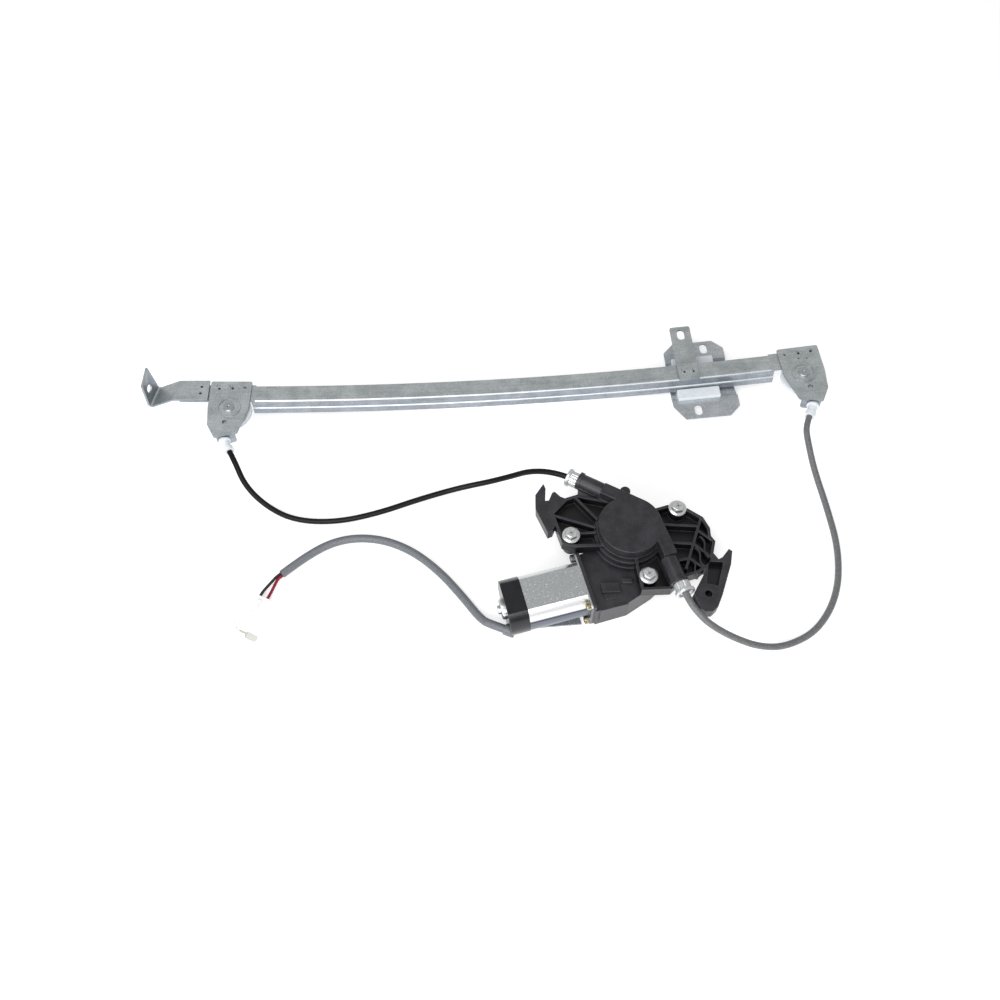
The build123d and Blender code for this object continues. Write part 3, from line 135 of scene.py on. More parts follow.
def add_cord(name, width, length, far_end, stiffness, slot, points, lay="loose"):
    """Draw a round cord along its route, its thickness given by the radius of its points."""
    curve = bpy.data.curves.new(name + "_look", "CURVE")
    curve.dimensions = "3D"
    curve.resolution_u = 12
    curve.bevel_depth = 1.0
    curve.bevel_resolution = 6
    curve.use_fill_caps = True
    spline = curve.splines.new("NURBS")
    spline.points.add(len(points) - 1)
    for point, place in zip(spline.points, points):
        point.co = (place[0] * MM, place[1] * MM, place[2] * MM, 1)
        point.radius = width / 2 * MM
    spline.order_u = 3
    spline.use_endpoint_u = True
    piece = bpy.data.objects.new(name + "_look", curve)
    bpy.context.collection.objects.link(piece)
    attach(piece, "rail_assembly")
    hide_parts(name)
    [v * MM for v in points[0]]
    length * MM
    width * MM
    return piece


cords = {name: add_cord(name, **facts) for name, facts in CORDS.items()}


# Pieces with a finish of their own, not that of their slot
OWN_LOOKS = {
    "drum_housing_look": "housing_plastic", "wing_bent_ribs": "housing_plastic",
    # the pocket floors' blacker plastic and the screw crosses' darker steel are painted shade
    "hook_pocket_floors": "band_plastic", "screw_crosses": "shaft_steel",
}
slots = {part["node"]: part["material_slot"] for part in frame["record"]["subparts"]}


# Shapes that the photograph shows finer than the model does, in millimetres

RAIL_Y, RAIL_DEPTH = 105.0, 18.0
BOW_X, BOW_RADIUS = 32.0, 2800.0
CARRIER_X = 218.5
DRUM = Vector((118.0, -82.0, 0.0))


def station(x):
    """The frame that touches the top of the bowed web at x, its own X along the rail."""
    lean = asin((x - BOW_X) / BOW_RADIUS)
    place = (x, RAIL_Y, RAIL_DEPTH + BOW_RADIUS * (1 - cos(lean)))
    return Matrix.Translation(place) @ Matrix.Rotation(-lean, 4, "Y")


added = {}


def dress(piece, like, slot, *replaced):
    """Let a new piece ride where a node rides, take a slot's finish and stand for what it replaces."""
    bpy.context.collection.objects.link(piece)
    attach(piece, body_of(frame["nodes"][like])[0])
    if replaced:
        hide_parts(*replaced)
    added[piece] = slot
    return piece


def reshaped(node, move):
    """A copy of a node's mesh with its corners moved, in the node's place."""
    mesh = frame["nodes"][node].data.copy()
    for corner in mesh.vertices:
        corner.co = move(corner.co / MM) * MM
    mesh.update()
    return dress(bpy.data.objects.new(node + "_look", mesh), node, slots[node], node)


FAR_EAR_TRIM = 3.6
NEAR_CORNER_TRIM = 6.3
PLATE_BACK = 2.2


def carrier_plate_move(corner):
    """The far ear is narrower, the near left corner cut deeper, and the plate a little further back."""
    here = station(CARRIER_X)
    x, y, z = here.inverted() @ corner
    if x > 20 and y > 0:
        x -= FAR_EAR_TRIM
    if x < -30 and y < -30:
        y += NEAR_CORNER_TRIM
    return here @ Vector((x, y + PLATE_BACK, z))


FLANGE_TOP = 1.6
FLANGE_REACH_LEFT, FLANGE_REACH_RIGHT = 3.2, 2.5


def guide_rail_move(corner):
    """The flanges reach nearer to the brackets than the model's do."""
    depth = (station(corner.x).inverted() @ corner).z
    if depth < -FLANGE_TOP and corner.x < -220:
        return corner + Vector((-FLANGE_REACH_LEFT, 0, 0))
    if depth < -FLANGE_TOP and corner.x > 275:
        return corner + Vector((FLANGE_REACH_RIGHT, 0, 0))
    return corner


FOOT_REACH = 3.7
FOOT_FRONT_TRIM = 4.4


def foot_bracket_move(corner):
    """The foot's flat end meets the pulley bracket, and its upright narrows to the front."""
    if corner.x > -285:
        return corner + Vector((FOOT_REACH, 0, 0))
    if corner.z > 50 and corner.y < 104:
        return corner + Vector((FOOT_FRONT_TRIM, 0, 0))
    return corner


WING_UNDERSIDE = 31.0
LEFT_HOOK_UNDERSIDE, RIGHT_HOOK_UNDERSIDE = 38.0, 35.0


def drum_housing_move(corner):
    """The two hooks are thinner than the wings."""
    left = corner.x < 56
    right = (corner.x > 184 and corner.y < -105) or (corner.x > 160 and corner.y < -128)
    if corner.z < WING_UNDERSIDE and (left or right):
        height = LEFT_HOOK_UNDERSIDE if left else RIGHT_HOOK_UNDERSIDE
        return Vector((corner.x, corner.y, height))
    return corner


STRIP_REACH = 1.8


def rail_mount_strip_move(corner):
    """The strip's near end lies over the rail's fold."""
    return corner + Vector((0, -STRIP_REACH, 0)) if corner.y < 96 else corner


MOVES = {
    "carrier_plate": carrier_plate_move,
    "guide_rail": guide_rail_move,
    "foot_bracket": foot_bracket_move,
    "drum_housing": drum_housing_move,
    "rail_mount_strip": rail_mount_strip_move,
}


def circle(middle, radius, count, start=0.0):
    """The corners of a regular polygon, the first of them turned to an angle."""
    x, y = middle
    turns = [start + 2 * pi * step / count for step in range(count)]
    return [(x + radius * cos(turn), y + radius * sin(turn)) for turn in turns]


def upright_at(x, y, z=0.0):
    """A frame whose own X points straight up from a place."""
    return Matrix.Translation((x, y, z)) @ Matrix.Rotation(-pi / 2, 4, "Y")


def prism(bm, outline, low, high, here=Matrix.Identity(4)):
    """Add the solid between two heights over an outline."""
    rings = [
        [bm.verts.new(here @ Vector((x, y, z)) * MM) for x, y in outline] for z in (low, high)
    ]
    bm.faces.new(list(reversed(rings[0])))
    bm.faces.new(rings[1])
    count = len(outline)
    for index in range(count):
        after = (index + 1) % count
        bm.faces.new((rings[0][index], rings[0][after], rings[1][after], rings[1][index]))


GROOVE_DEPTH = 0.5


def turned(bm, profile, here, segments=64, grooves=0, grooved=()):
    """Add a turned body from rings of (place along X, radius), closed at both ends.

    The rings named in grooved get that many grooves round them.
    """
    rings = []
    for index, (along, radius) in enumerate(profile):
        ring = []
        for step in range(segments):
            turn = 2 * pi * step / segments
            depth = GROOVE_DEPTH * (1 - cos(grooves * turn)) / 2 if index in grooved else 0.0
            out = radius - depth
            ring.append(bm.verts.new(here @ Vector((along, out * cos(turn), out * sin(turn))) * MM))
        rings.append(ring)
    for first, second in zip(rings, rings[1:]):
        for step in range(segments):
            after = (step + 1) % segments
            bm.faces.new((first[step], first[after], second[after], second[step]))
    bm.faces.new(rings[0])
    bm.faces.new(rings[-1])


def solid(name, build, bevel=0.0):
    """Run a builder on an empty mesh and round its sharp edges."""
    bm = bmesh.new()
    build(bm)
    bmesh.ops.recalc_face_normals(bm, faces=bm.faces)
    mesh = bpy.data.meshes.new(name)
    bm.to_mesh(mesh)
    bm.free()
    piece = bpy.data.objects.new(name, mesh)
    if bevel:
        rounding = piece.modifiers.new("rounding", "BEVEL")
        rounding.width = bevel * MM
        rounding.segments = 2
        rounding.limit_method = "ANGLE"
    return piece


SLIDER_PROFILE = [
    (-23.6, -17.35), (-19.2, -17.35), (-19.2, -20.4), (23.6, -20.4), (23.6, -17.35), (28.0, -17.35),
    (28.0, -13.4), (11.5, -13.4), (11.5, -18.3), (9.4, -18.3), (9.4, -13.4), (8.2, -12.2), (8.2, -2.6),
    (1.8, -2.6), (1.8, -6.8), (-1.8, -6.8), (-1.8, -2.6), (-8.2, -2.6), (-8.2, -12.2), (-9.4, -13.4),
    (-9.4, -18.3), (-11.5, -18.3), (-11.5, -13.4), (-23.6, -13.4),
]
SLIDER_X, SLIDER_LENGTH = -5.7, 42.0


def build_slider(bm):
    """The white shoe: it sits in the sunk middle and steps out onto the ears."""
    upright = Matrix(((0, 0, 1, 0), (1, 0, 0, 0), (0, 1, 0, 0), (0, 0, 0, 1)))
    low, high = SLIDER_X - SLIDER_LENGTH / 2, SLIDER_X + SLIDER_LENGTH / 2
    prism(bm, SLIDER_PROFILE, low, high, station(CARRIER_X) @ upright)


FERRULE_PROFILE = [
    (0.0, 5.6), (0.0, 6.4), (0.6, 7.0), (6.6, 7.0), (7.2, 6.8), (7.4, 8.2), (8.0, 8.5), (9.6, 8.5),
    (10.2, 8.2), (10.4, 6.4), (9.2, 4.4),
]
FERRULE_GROOVES = 18
FERRULES = {"upper_ferrule": ("black_conduit", 147.8), "lower_ferrule": ("grey_conduit", -76.0)}
FERRULE_START = 61.0


def ferrule_builder(name):
    """A knurled bell with a wide rim at the mouth of its tube, on the line of its conduit."""
    conduit, angle = FERRULES[name]
    end = Vector(CORDS[conduit]["points"][-1])
    along = Vector((cos(radians(angle)), sin(radians(angle)), 0))
    start = end - along * ((end - DRUM).dot(along) - FERRULE_START)
    here = Matrix.Translation(start) @ Matrix.Rotation(radians(angle), 4, "Z")
    return lambda bm: turned(bm, FERRULE_PROFILE, here, 96, FERRULE_GROOVES, (2, 3))


POCKETS = [
    [(180.2, -115.4), (195.0, -116.9), (185.6, -141.0), (175.2, -137.8)],
    circle((176.16, -146.0), 3.9, 16),
]
POCKET_HEIGHTS = 36.4, 38.4


def build_pocket_floors(bm):
    """Floors in the two pockets of the right hook, in a blacker plastic than the housing as painted
    shade.
    """
    for outline in POCKETS:
        prism(bm, outline, *POCKET_HEIGHTS)


POT_STEPS = [(34.2, 36.6, 32.4), (39.4, 42.6, 30.6)]
POT_CORE = 26.5


def build_pot_rings(bm):
    """Two steps round the drum's pot, under the cover."""
    for low, high, radius in POT_STEPS:
        step = [(low, POT_CORE), (low, radius), (high, radius), (high, POT_CORE)]
        turned(bm, step, upright_at(*DRUM))


RIBS = [
    ((177.8, -92.1), (182.5, -113.0)), ((172.0, -102.9), (177.4, -120.8)),
    ((166.5, -114.0), (171.4, -128.0)),
]
RIB_WAVE, RIB_HALF, RIB_STEPS = 1.7, 0.8, 12
RIB_HEIGHTS = 35.0, 46.2


def build_wavy_ribs(bm):
    """The bent ribs between the long rib and the outer wall of the right wing."""
    for start, end in RIBS:
        start, end = Vector(start), Vector(end)
        run = end - start
        side = Vector((-run.y, run.x)).normalized()
        line = [
            start + run * t / RIB_STEPS + side * RIB_WAVE * sin(2 * pi * t / RIB_STEPS)
            for t in range(RIB_STEPS + 1)
        ]
        outline = [p + side * RIB_HALF for p in line] + [p - side * RIB_HALF for p in reversed(line)]
        prism(bm, [tuple(p) for p in outline], *RIB_HEIGHTS)


GEARBOX_ROOF = 29.0
GEARBOX_BLOCKS = [
    ([(88.5, -124.2), (104.6, -125.0), (105.4, -134.4), (89.6, -134.0)], 33.6),
    ([(107.2, -121.0), (116.5, -121.8), (116.9, -126.6), (107.7, -125.8)], 33.0),
]


def build_gearbox_blocks(bm):
    """The low blocks on the gearbox's top."""
    for outline, height in GEARBOX_BLOCKS:
        prism(bm, outline, GEARBOX_ROOF, height)


LUG_PLACE, LUG_RADIUS = (118.6, -45.2), 4.6
LUG_HEIGHTS = 36.0, 51.0


def build_arm_lug(bm):
    """The small lug behind the upper arm."""
    prism(bm, circle(LUG_PLACE, LUG_RADIUS, 24), *LUG_HEIGHTS)


SCREWS = [(66.96, -83.84), (162.8, -63.76), (128.64, -126.48)]
SCREW_SEAT = 46.0
HEXAGON_HEIGHTS = SCREW_SEAT + 1.0, SCREW_SEAT + 4.8
CROSS_HEIGHTS = SCREW_SEAT + 4.0, SCREW_SEAT + 5.22
SCREW_TURNS = (0.35, 0.1, 0.6)
SCREW_FLANGE = [(0.0, 5.0), (0.0, 7.9), (0.5, 8.1), (1.1, 7.7), (1.9, 6.2), (2.0, 5.2)]
SCREW_CROWN = [(4.6, 4.6), (4.9, 4.3), (5.1, 3.4), (5.15, 2.0)]
HEXAGON_RADIUS = 5.7
CROSS_REACH, CROSS_HALF = 2.9, 0.55


def build_screws(bm):
    """Hexagon heads, rounded on top, on pressed flanges."""
    for (x, y), turn in zip(SCREWS, SCREW_TURNS):
        here = upright_at(x, y, SCREW_SEAT)
        turned(bm, SCREW_FLANGE, here, 48)
        hexagon = circle((x, y), HEXAGON_RADIUS, 6, turn)
        prism(bm, hexagon, *HEXAGON_HEIGHTS)
        turned(bm, SCREW_CROWN, here, 32)


def build_crosses(bm):
    """The cross recess of each screw, drawn as bars a shade darker than its head: painted shade of the
    recess.
    """
    for (x, y), turn in zip(SCREWS, SCREW_TURNS):
        for quarter in (0, pi / 2):
            out = Vector((cos(turn + quarter), sin(turn + quarter)))
            side = Vector((-out.y, out.x))
            middle = Vector((x, y))
            bar = [
                middle + out * a * CROSS_REACH + side * b * CROSS_HALF
                for a, b in ((-1, -1), (1, -1), (1, 1), (-1, 1))
            ]
            prism(bm, [tuple(p) for p in bar], *CROSS_HEIGHTS)


def ray_place(column, row):
    """Where the camera's line through a pixel of the photograph meets the model, and the face there."""
    half = PHOTO_PIXELS / 2
    aim = Vector(((column - half) / FOCAL_PIXELS, (half - row) / FOCAL_PIXELS, -1))
    turn = camera.matrix_world.to_3x3()
    graph = bpy.context.evaluated_depsgraph_get()
    start = camera.matrix_world.translation
    _, place, normal, *_ = bpy.context.scene.ray_cast(graph, start, turn @ aim.normalized())
    return place / MM, normal


def outward(place, normal):
    """A frame at a place whose own X points along the face's normal."""
    return Matrix.Translation(place) @ normal.to_track_quat("X", "Z").to_matrix().to_4x4()


PIVOTS = {"left_pulley_bracket": (228.5, 406.7), "right_pulley_bracket": (803.8, 372.6)}
BEAD_RADII = 7.4, 11.4
BEAD_FOOT = -3.0


def ring_builder(spot):
    """The two pressed beads round a pulley's pivot."""
    def build(bm):
        here = outward(*ray_place(*spot))
        for radius in BEAD_RADII:
            bead = [
                (BEAD_FOOT, radius - 0.9), (-1.1, radius - 0.3), (-1.05, radius + 0.3),
                (BEAD_FOOT, radius + 0.9),
            ]
            turned(bm, bead, here, 64)
    return build


PIT_RADIUS, PIT_RISE = 1.35, 0.25
PITS = {
    "left_pulley_bracket": [(219.4, 388.8, 1), (232.8, 388.5, 1), (245.3, 388.3, 1)],
    "right_pulley_bracket": [
        (784.8, 355.5, 1), (798.2, 353.4, 1), (810.5, 351.1, 1),
        (798.5, 358.5, 0.6), (806.7, 358.1, 0.6),
    ],
    "foot_bracket": [(201.9, 386.9, 1), (200.3, 393.4, 1)],
    "rail_mount_strip": [(684.6, 371.9, 0.9), (693.6, 371.2, 0.9)],
}


def pit_builder(spots):
    """Painted shade of the clinch dents: low black domes on the sheet."""
    def build(bm):
        for column, row, scale in spots:
            here = outward(*ray_place(column, row))
            radius = PIT_RADIUS * scale
            turned(bm, [(-0.5, radius), (0.05, radius), (PIT_RISE, 0.5 * radius)], here, 20)
    return build


for node in FERRULES:
    dress(solid(node + "_look", ferrule_builder(node)), node, "ferrule_light", node)
for node, move in MOVES.items():
    reshaped(node, move)
bpy.context.view_layer.update()
beads = {node: solid(node + "_beads", ring_builder(spot)) for node, spot in PIVOTS.items()}
pits = {node: solid(node + "_marks", pit_builder(spots)) for node, spots in PITS.items()}
# painted shade: the clinch dents drawn as black domes
for node, piece in pits.items():
    dress(piece, node, "black_plastic")
for node, piece in beads.items():
    dress(piece, node, slots[node])
dress(solid("flange_screws_look", build_screws, 0.35), "flange_screws", "bright_screw", "flange_screws")
# painted shade: the cross recesses drawn as bars in a darker steel than the heads
dress(solid("screw_crosses", build_crosses), "flange_screws", "black_plastic")
slider = solid("carrier_slider_look", build_slider, 0.6)
dress(slider, "carrier_slider", "white_plastic", "carrier_slider")
# painted shade: the pocket floors take the blacker band plastic
dress(solid("hook_pocket_floors", build_pocket_floors), "drum_housing", "black_plastic")
dress(solid("pot_rings", build_pot_rings, 0.4), "drum_housing", "black_plastic")
dress(solid("wing_bent_ribs", build_wavy_ribs, 0.3), "drum_housing", "black_plastic")
dress(solid("gearbox_blocks", build_gearbox_blocks, 0.6), "gearbox_housing", "black_plastic")
dress(solid("arm_lug", build_arm_lug, 0.6), "drum_housing", "black_plastic")


# Materials: a small wrapper writes shader maths as ordinary sums

class Value:
    """A socket of a material, which takes part in sums as a number does."""

    def __init__(self, graph, socket):
        self.graph = graph
        self.socket = socket

    def maths(self, operation, *others):
        """A Math node on this value and the others."""
        terms = dict(enumerate((self, *others)))
        return self.graph.node("ShaderNodeMath", {"operation": operation}, terms)

    def __add__(self, other):
        return self.maths("ADD", other)

    def __sub__(self, other):
        return self.maths("SUBTRACT", other)

    def __mul__(self, other):
        return self.maths("MULTIPLY", other)

    def __rsub__(self, other):
        terms = {0: other, 1: self}
        return self.graph.node("ShaderNodeMath", {"operation": "SUBTRACT"}, terms)

    __radd__ = __add__
    __rmul__ = __mul__

    def over(self, low, high):
        """0 below low, 1 above high, and smooth between."""
        sockets = {"Value": self, "From Min": low, "From Max": high}
        return self.graph.node("ShaderNodeMapRange", {"interpolation_type": "SMOOTHSTEP"}, sockets)


class Graph:
    """The nodes of one material."""

    def __init__(self, name):
        self.material = bpy.data.materials.new(name)
        self.material.use_nodes = True
        self.tree = self.material.node_tree
        self.shader = self.tree.nodes["Principled BSDF"]
        self.place = self.node("ShaderNodeNewGeometry", output="Position")
        self.normal = self.node("ShaderNodeNewGeometry", output="Normal")

    def node(self, kind, settings=None, sockets=None, output=0):
        """Make a node from its settings, set first, and the values or links of its sockets."""
        made = self.tree.nodes.new(kind)
        for name, setting in (settings or {}).items():
            if name == "stops":
                self.set_stops(made.color_ramp, setting)
            else:
                setattr(made, name, setting)
        for name, item in (sockets or {}).items():
            self.feed(made.inputs[name], item)
        return Value(self, made.outputs[output])

    def feed(self, socket, item):
        """Link a value to a socket, or set the socket to a number or a colour."""
        if isinstance(item, Value):
            self.tree.links.new(item.socket, socket)
        elif socket.type == "RGBA":
            socket.default_value = (*item, 1)
        else:
            socket.default_value = item

    def set_stops(self, ramp, colours):
        """Spread the colours evenly along the ramp."""
        while len(ramp.elements) < len(colours):
            ramp.elements.new(1.0)
        for index, (stop, colour) in enumerate(zip(ramp.elements, colours)):
            stop.position = index / (len(colours) - 1)
            stop.color = (*colour, 1)

    def stretched(self, *factors):
        """The place, scaled along each axis."""
        terms = {0: self.place, 1: factors}
        return self.node("ShaderNodeVectorMath", {"operation": "MULTIPLY"}, terms)

    def noise(self, size, detail=3.0, rough=0.55, stretch=(1, 1, 1), seed=0.0):
        """Noise from 0 to 1 whose grains are about size millimetres across."""
        sockets = {
            "Vector": self.stretched(*stretch), "W": seed, "Scale": 1 / (size * MM),
            "Detail": detail, "Roughness": rough,
        }
        return self.node("ShaderNodeTexNoise", {"noise_dimensions": "4D"}, sockets)

    def cells(self, size, seed=0.0):
        """A random brightness for each grain of a crystal pattern."""
        sockets = {"Vector": self.place, "W": seed, "Scale": 1 / (size * MM)}
        colour = self.node("ShaderNodeTexVoronoi", {"voronoi_dimensions": "4D"}, sockets, "Color")
        return self.node("ShaderNodeSeparateColor", {}, {0: colour})

    def rounded(self, radius):
        """The normal with each sharp edge rounded by radius millimetres."""
        return self.node("ShaderNodeBevel", {"samples": BEVEL_SAMPLES}, {"Radius": radius * MM})

    def dot(self, first, second):
        terms = {0: first, 1: second}
        return self.node("ShaderNodeVectorMath", {"operation": "DOT_PRODUCT"}, terms, "Value")

    def edge(self, radius, low=0.02, high=0.25):
        """How near a sharp edge lies, from 0 on a face to 1 on the edge."""
        return (1.0 - self.dot(self.rounded(radius), self.normal)).over(low, high)

    def facing(self, *direction):
        """How far the face turns to a direction, from -1 to 1."""
        return self.dot(self.normal, direction)

    def colour(self, amount, *stops):
        """Blend from colour to colour as amount goes from 0 to 1."""
        return self.node("ShaderNodeValToRGB", {"stops": stops}, {0: amount})

    def mixed(self, amount, first, second):
        """The first colour, turning into the second as amount goes from 0 to 1."""
        return self.node("ShaderNodeMix", {"data_type": "RGBA"}, {0: amount, 6: first, 7: second}, 2)

    def along(self, axis):
        """How far the place lies along an axis, in metres."""
        return self.node("ShaderNodeSeparateXYZ", {}, {0: self.place}, axis)

    def relief(self, height, depth, rounding=0.0):
        """Bump of depth millimetres, on top of edges rounded by rounding millimetres."""
        sockets = {"Strength": 1.0, "Distance": depth * MM, "Height": height}
        if rounding:
            sockets["Normal"] = self.rounded(rounding)
        self.feed(self.shader.inputs["Normal"], self.node("ShaderNodeBump", {}, sockets))

    def finish(self, colour, roughness, metallic=0.0, **others):
        """Feed the shader and give the material."""
        self.feed(self.shader.inputs["Base Color"], colour)
        self.feed(self.shader.inputs["Roughness"], roughness)
        self.feed(self.shader.inputs["Metallic"], metallic)
        for name, value in others.items():
            self.feed(self.shader.inputs[name.replace("_", " ").title()], value)
        return self.material


BEVEL_SAMPLES = 6
# Painted shade: darker colours for the sides of sheet steel that do not face up
SHADED_SIDE_DARK, SHADED_SIDE_LIGHT = (0.20, 0.22, 0.25), (0.42, 0.455, 0.50)
# Painted highlight: the bright colour of the sheet's rounded bends
BEND_HIGHLIGHT = (0.66, 0.69, 0.72)
# Painted shade: the dark colour laid along the sharp edges of steel parts
EDGE_SHADE = (0.10, 0.105, 0.115)
# Painted shade: the near-black of the housing's low, recessed parts, and the height over which it fades
# in
RECESS_SHADE_BLACK = (0.002, 0.002, 0.003)
RECESS_SHADE_FADE = 3.0
FAR_SCREWS = -0.128, -0.122


def sheet_steel(name, light, dark, seed=0.0, rough=0.34):
    """Zinc-coated sheet: speckled grain and soft clouds, with painted light: a painted highlight on the
    bends, and painted shade on the sides and along the sharp edges.
    """
    g = Graph(name)
    grain = g.noise(0.8, 3.0, 0.75, seed=seed)
    cloud = g.noise(14.0, 3.0, 0.6, seed=seed + 3)
    streak = g.noise(2.2, 2.0, 0.5, stretch=(0.06, 1, 1), seed=seed + 5)
    tone = (grain * 0.6 + cloud * 0.28 + streak * 0.12).over(0.36, 0.64)
    rise = g.facing(0, 0, 1)
    # painted highlight: faces that lean between flat and upright, on the rounded bends, turn bright
    bend_highlight = rise.over(0.25, 0.5) * (1.0 - rise.over(0.86, 0.97))
    face = g.colour(tone, dark, light)
    # painted shade: faces that do not face up take the darker side colours
    side = g.colour(tone, SHADED_SIDE_DARK, SHADED_SIDE_LIGHT)
    colour = g.mixed(rise.over(0.2, 0.8), side, face)
    # painted shade along the sharp edges
    colour = g.mixed(g.edge(0.4) * 0.65, colour, EDGE_SHADE)
    colour = g.mixed(bend_highlight * 0.4, colour, BEND_HIGHLIGHT)
    g.relief(grain * 0.7 + cloud * 0.3, 0.05, 0.3)
    return g.finish(colour, rough + grain * 0.2, 0.9)


def bright_steel(name, light=(0.80, 0.82, 0.82), dark=(0.5, 0.52, 0.52), rough=0.16, seed=0.0):
    """Plated or turned steel with a fine grain, and painted shade along its sharp edges."""
    g = Graph(name)
    grain = g.noise(0.7, 2.0, 0.6, seed=seed)
    colour = g.colour(grain.over(0.35, 0.65), dark, light)
    # painted shade along the sharp edges
    colour = g.mixed(g.edge(0.35) * 0.5, colour, EDGE_SHADE)
    g.relief(grain, 0.02, 0.3)
    return g.finish(colour, rough + grain * 0.14, 1.0)


def screw_steel():
    """Bright zinc on the flange screws, with painted shade: dark on the hexagon's sides, which do not
    face up, and along its edges.
    """
    g = Graph("bright_screw_look")
    grain = g.noise(0.8, 2.0, 0.6, seed=3)
    face = g.colour(grain.over(0.3, 0.7), (0.70, 0.71, 0.71), (0.90, 0.91, 0.91))
    # painted shade: faces that do not face up take a dark colour
    colour = g.mixed(g.facing(0, 0, 1).over(0.25, 0.7), (0.16, 0.165, 0.17), face)
    # painted shade along the sharp edges
    colour = g.mixed(g.edge(0.6) * 0.6, colour, EDGE_SHADE)
    g.relief(grain, 0.01)
    return g.finish(colour, 0.25, 0.9)


def can_steel():
    """Zinc on drawn steel: speckled grey flats, and painted light on the near round side: a painted
    highlight on the shoulder, a painted dark reflection band and blue-grey painted shade on the lower
    side.
    """
    g = Graph("can_steel_look")
    grain = g.noise(0.8, 3.0, 0.7, seed=2)
    rise = g.facing(0, 0, 1)
    flat = rise.over(0.93, 0.985)
    speck = g.cells(1.1, 4).over(0.9, 0.97) * flat
    face = g.colour(grain.over(0.38, 0.62), (0.50, 0.53, 0.53), (0.68, 0.71, 0.71))
    face = g.mixed(speck * 0.6, face, (0.95, 0.97, 0.97))
    # painted light on the near round side, by how far each face turns up: blue-grey painted shade low, a
    # painted dark reflection band, then a painted highlight on the shoulder
    lower, dark_reflection_band, shoulder_highlight = (0.15, 0.165, 0.20), (0.03, 0.035, 0.05), (0.97, 0.98, 1.0)
    round_side_light = g.colour(rise.over(0.22, 0.46), lower, dark_reflection_band, shoulder_highlight)
    near = g.facing(0, -1, 0).over(0.05, 0.3)
    colour = g.mixed(near * (1.0 - flat), face, round_side_light)
    g.relief(grain * 0.6 + speck, 0.015, 0.5)
    return g.finish(colour, 0.22 + grain * 0.14, 0.95)


def yellow_steel():
    """Olive to brown chromate on the can's near screws, and plain grey on the far ones."""
    g = Graph("yellow_screw_look")
    cloud = g.noise(1.8, 2.0, 0.6, seed=6)
    brown, yellow, olive = (0.22, 0.12, 0.08), (0.44, 0.42, 0.26), (0.40, 0.44, 0.33)
    chromate = g.colour(cloud.over(0.35, 0.65), brown, yellow, olive)
    far = g.along("Y").over(*FAR_SCREWS)
    g.relief(cloud, 0.02, 0.3)
    return g.finish(g.mixed(far, chromate, (0.16, 0.165, 0.17)), 0.3, 1.0)


def moulded(
    name, dark, light, rough=0.42, grain_size=0.5, depth=0.03, rounding=0.45, seed=0.0,
    rim_highlight=0.0, shade_below_height=0.0,
):
    """Moulded plastic: a fine texture, slight clouds and softly rounded edges. The edge-highlight amount
    lightens its edges as a painted highlight, and below the given shade height the colour turns
    near-black as painted shade."""
    g = Graph(name)
    grain = g.noise(grain_size, 2.0, 0.6, seed=seed)
    cloud = g.noise(9.0, 2.0, 0.5, seed=seed + 2)
    face = g.colour((grain * 0.6 + cloud * 0.4).over(0.35, 0.65), dark, light)
    # painted shade: below the given height the colour fades to near-black
    if shade_below_height:
        face = g.mixed(g.along("Z").over((shade_below_height - RECESS_SHADE_FADE) * MM, shade_below_height * MM), RECESS_SHADE_BLACK, face)
    # painted highlight: the edges are made lighter
    if rim_highlight:
        face = g.mixed(g.edge(0.6, 0.03, 0.3) * rim_highlight, face, tuple(c * 3.5 + 0.03 for c in light))
    g.relief(grain, depth, rounding)
    return g.finish(face, rough + (cloud - 0.5) * 0.12)


def ferrule_metal():
    """Silvery bells with dark in their grooves."""
    g = Graph("ferrule_light_look")
    grain = g.noise(0.8, 2.0, 0.6, seed=11)
    colour = g.colour(grain.over(0.35, 0.65), (0.55, 0.57, 0.58), (0.78, 0.80, 0.81))
    g.relief(grain, 0.04, 0.25)
    return g.finish(colour, 0.3, 0.7)


def sheath(name, dark, light, rough=0.4, seed=0.0, gloss=0.5):
    """Extruded sheath of a conduit or wire."""
    g = Graph(name)
    grain = g.noise(1.6, 2.0, 0.5, seed=seed)
    speck = g.noise(0.5, 2.0, 0.6, seed=seed + 1)
    colour = g.colour((grain * 0.5 + speck * 0.5).over(0.3, 0.7), dark, light)
    g.relief(grain, 0.03)
    g.feed(g.shader.inputs["Specular IOR Level"], gloss)
    return g.finish(colour, rough)


def copper(name, light, dark):
    """Drawn copper, or bronze, with a fine grain."""
    g = Graph(name)
    grain = g.noise(0.6, 2.0, 0.5)
    g.relief(grain, 0.05)
    return g.finish(g.colour(grain, dark, light), 0.35, 1.0)


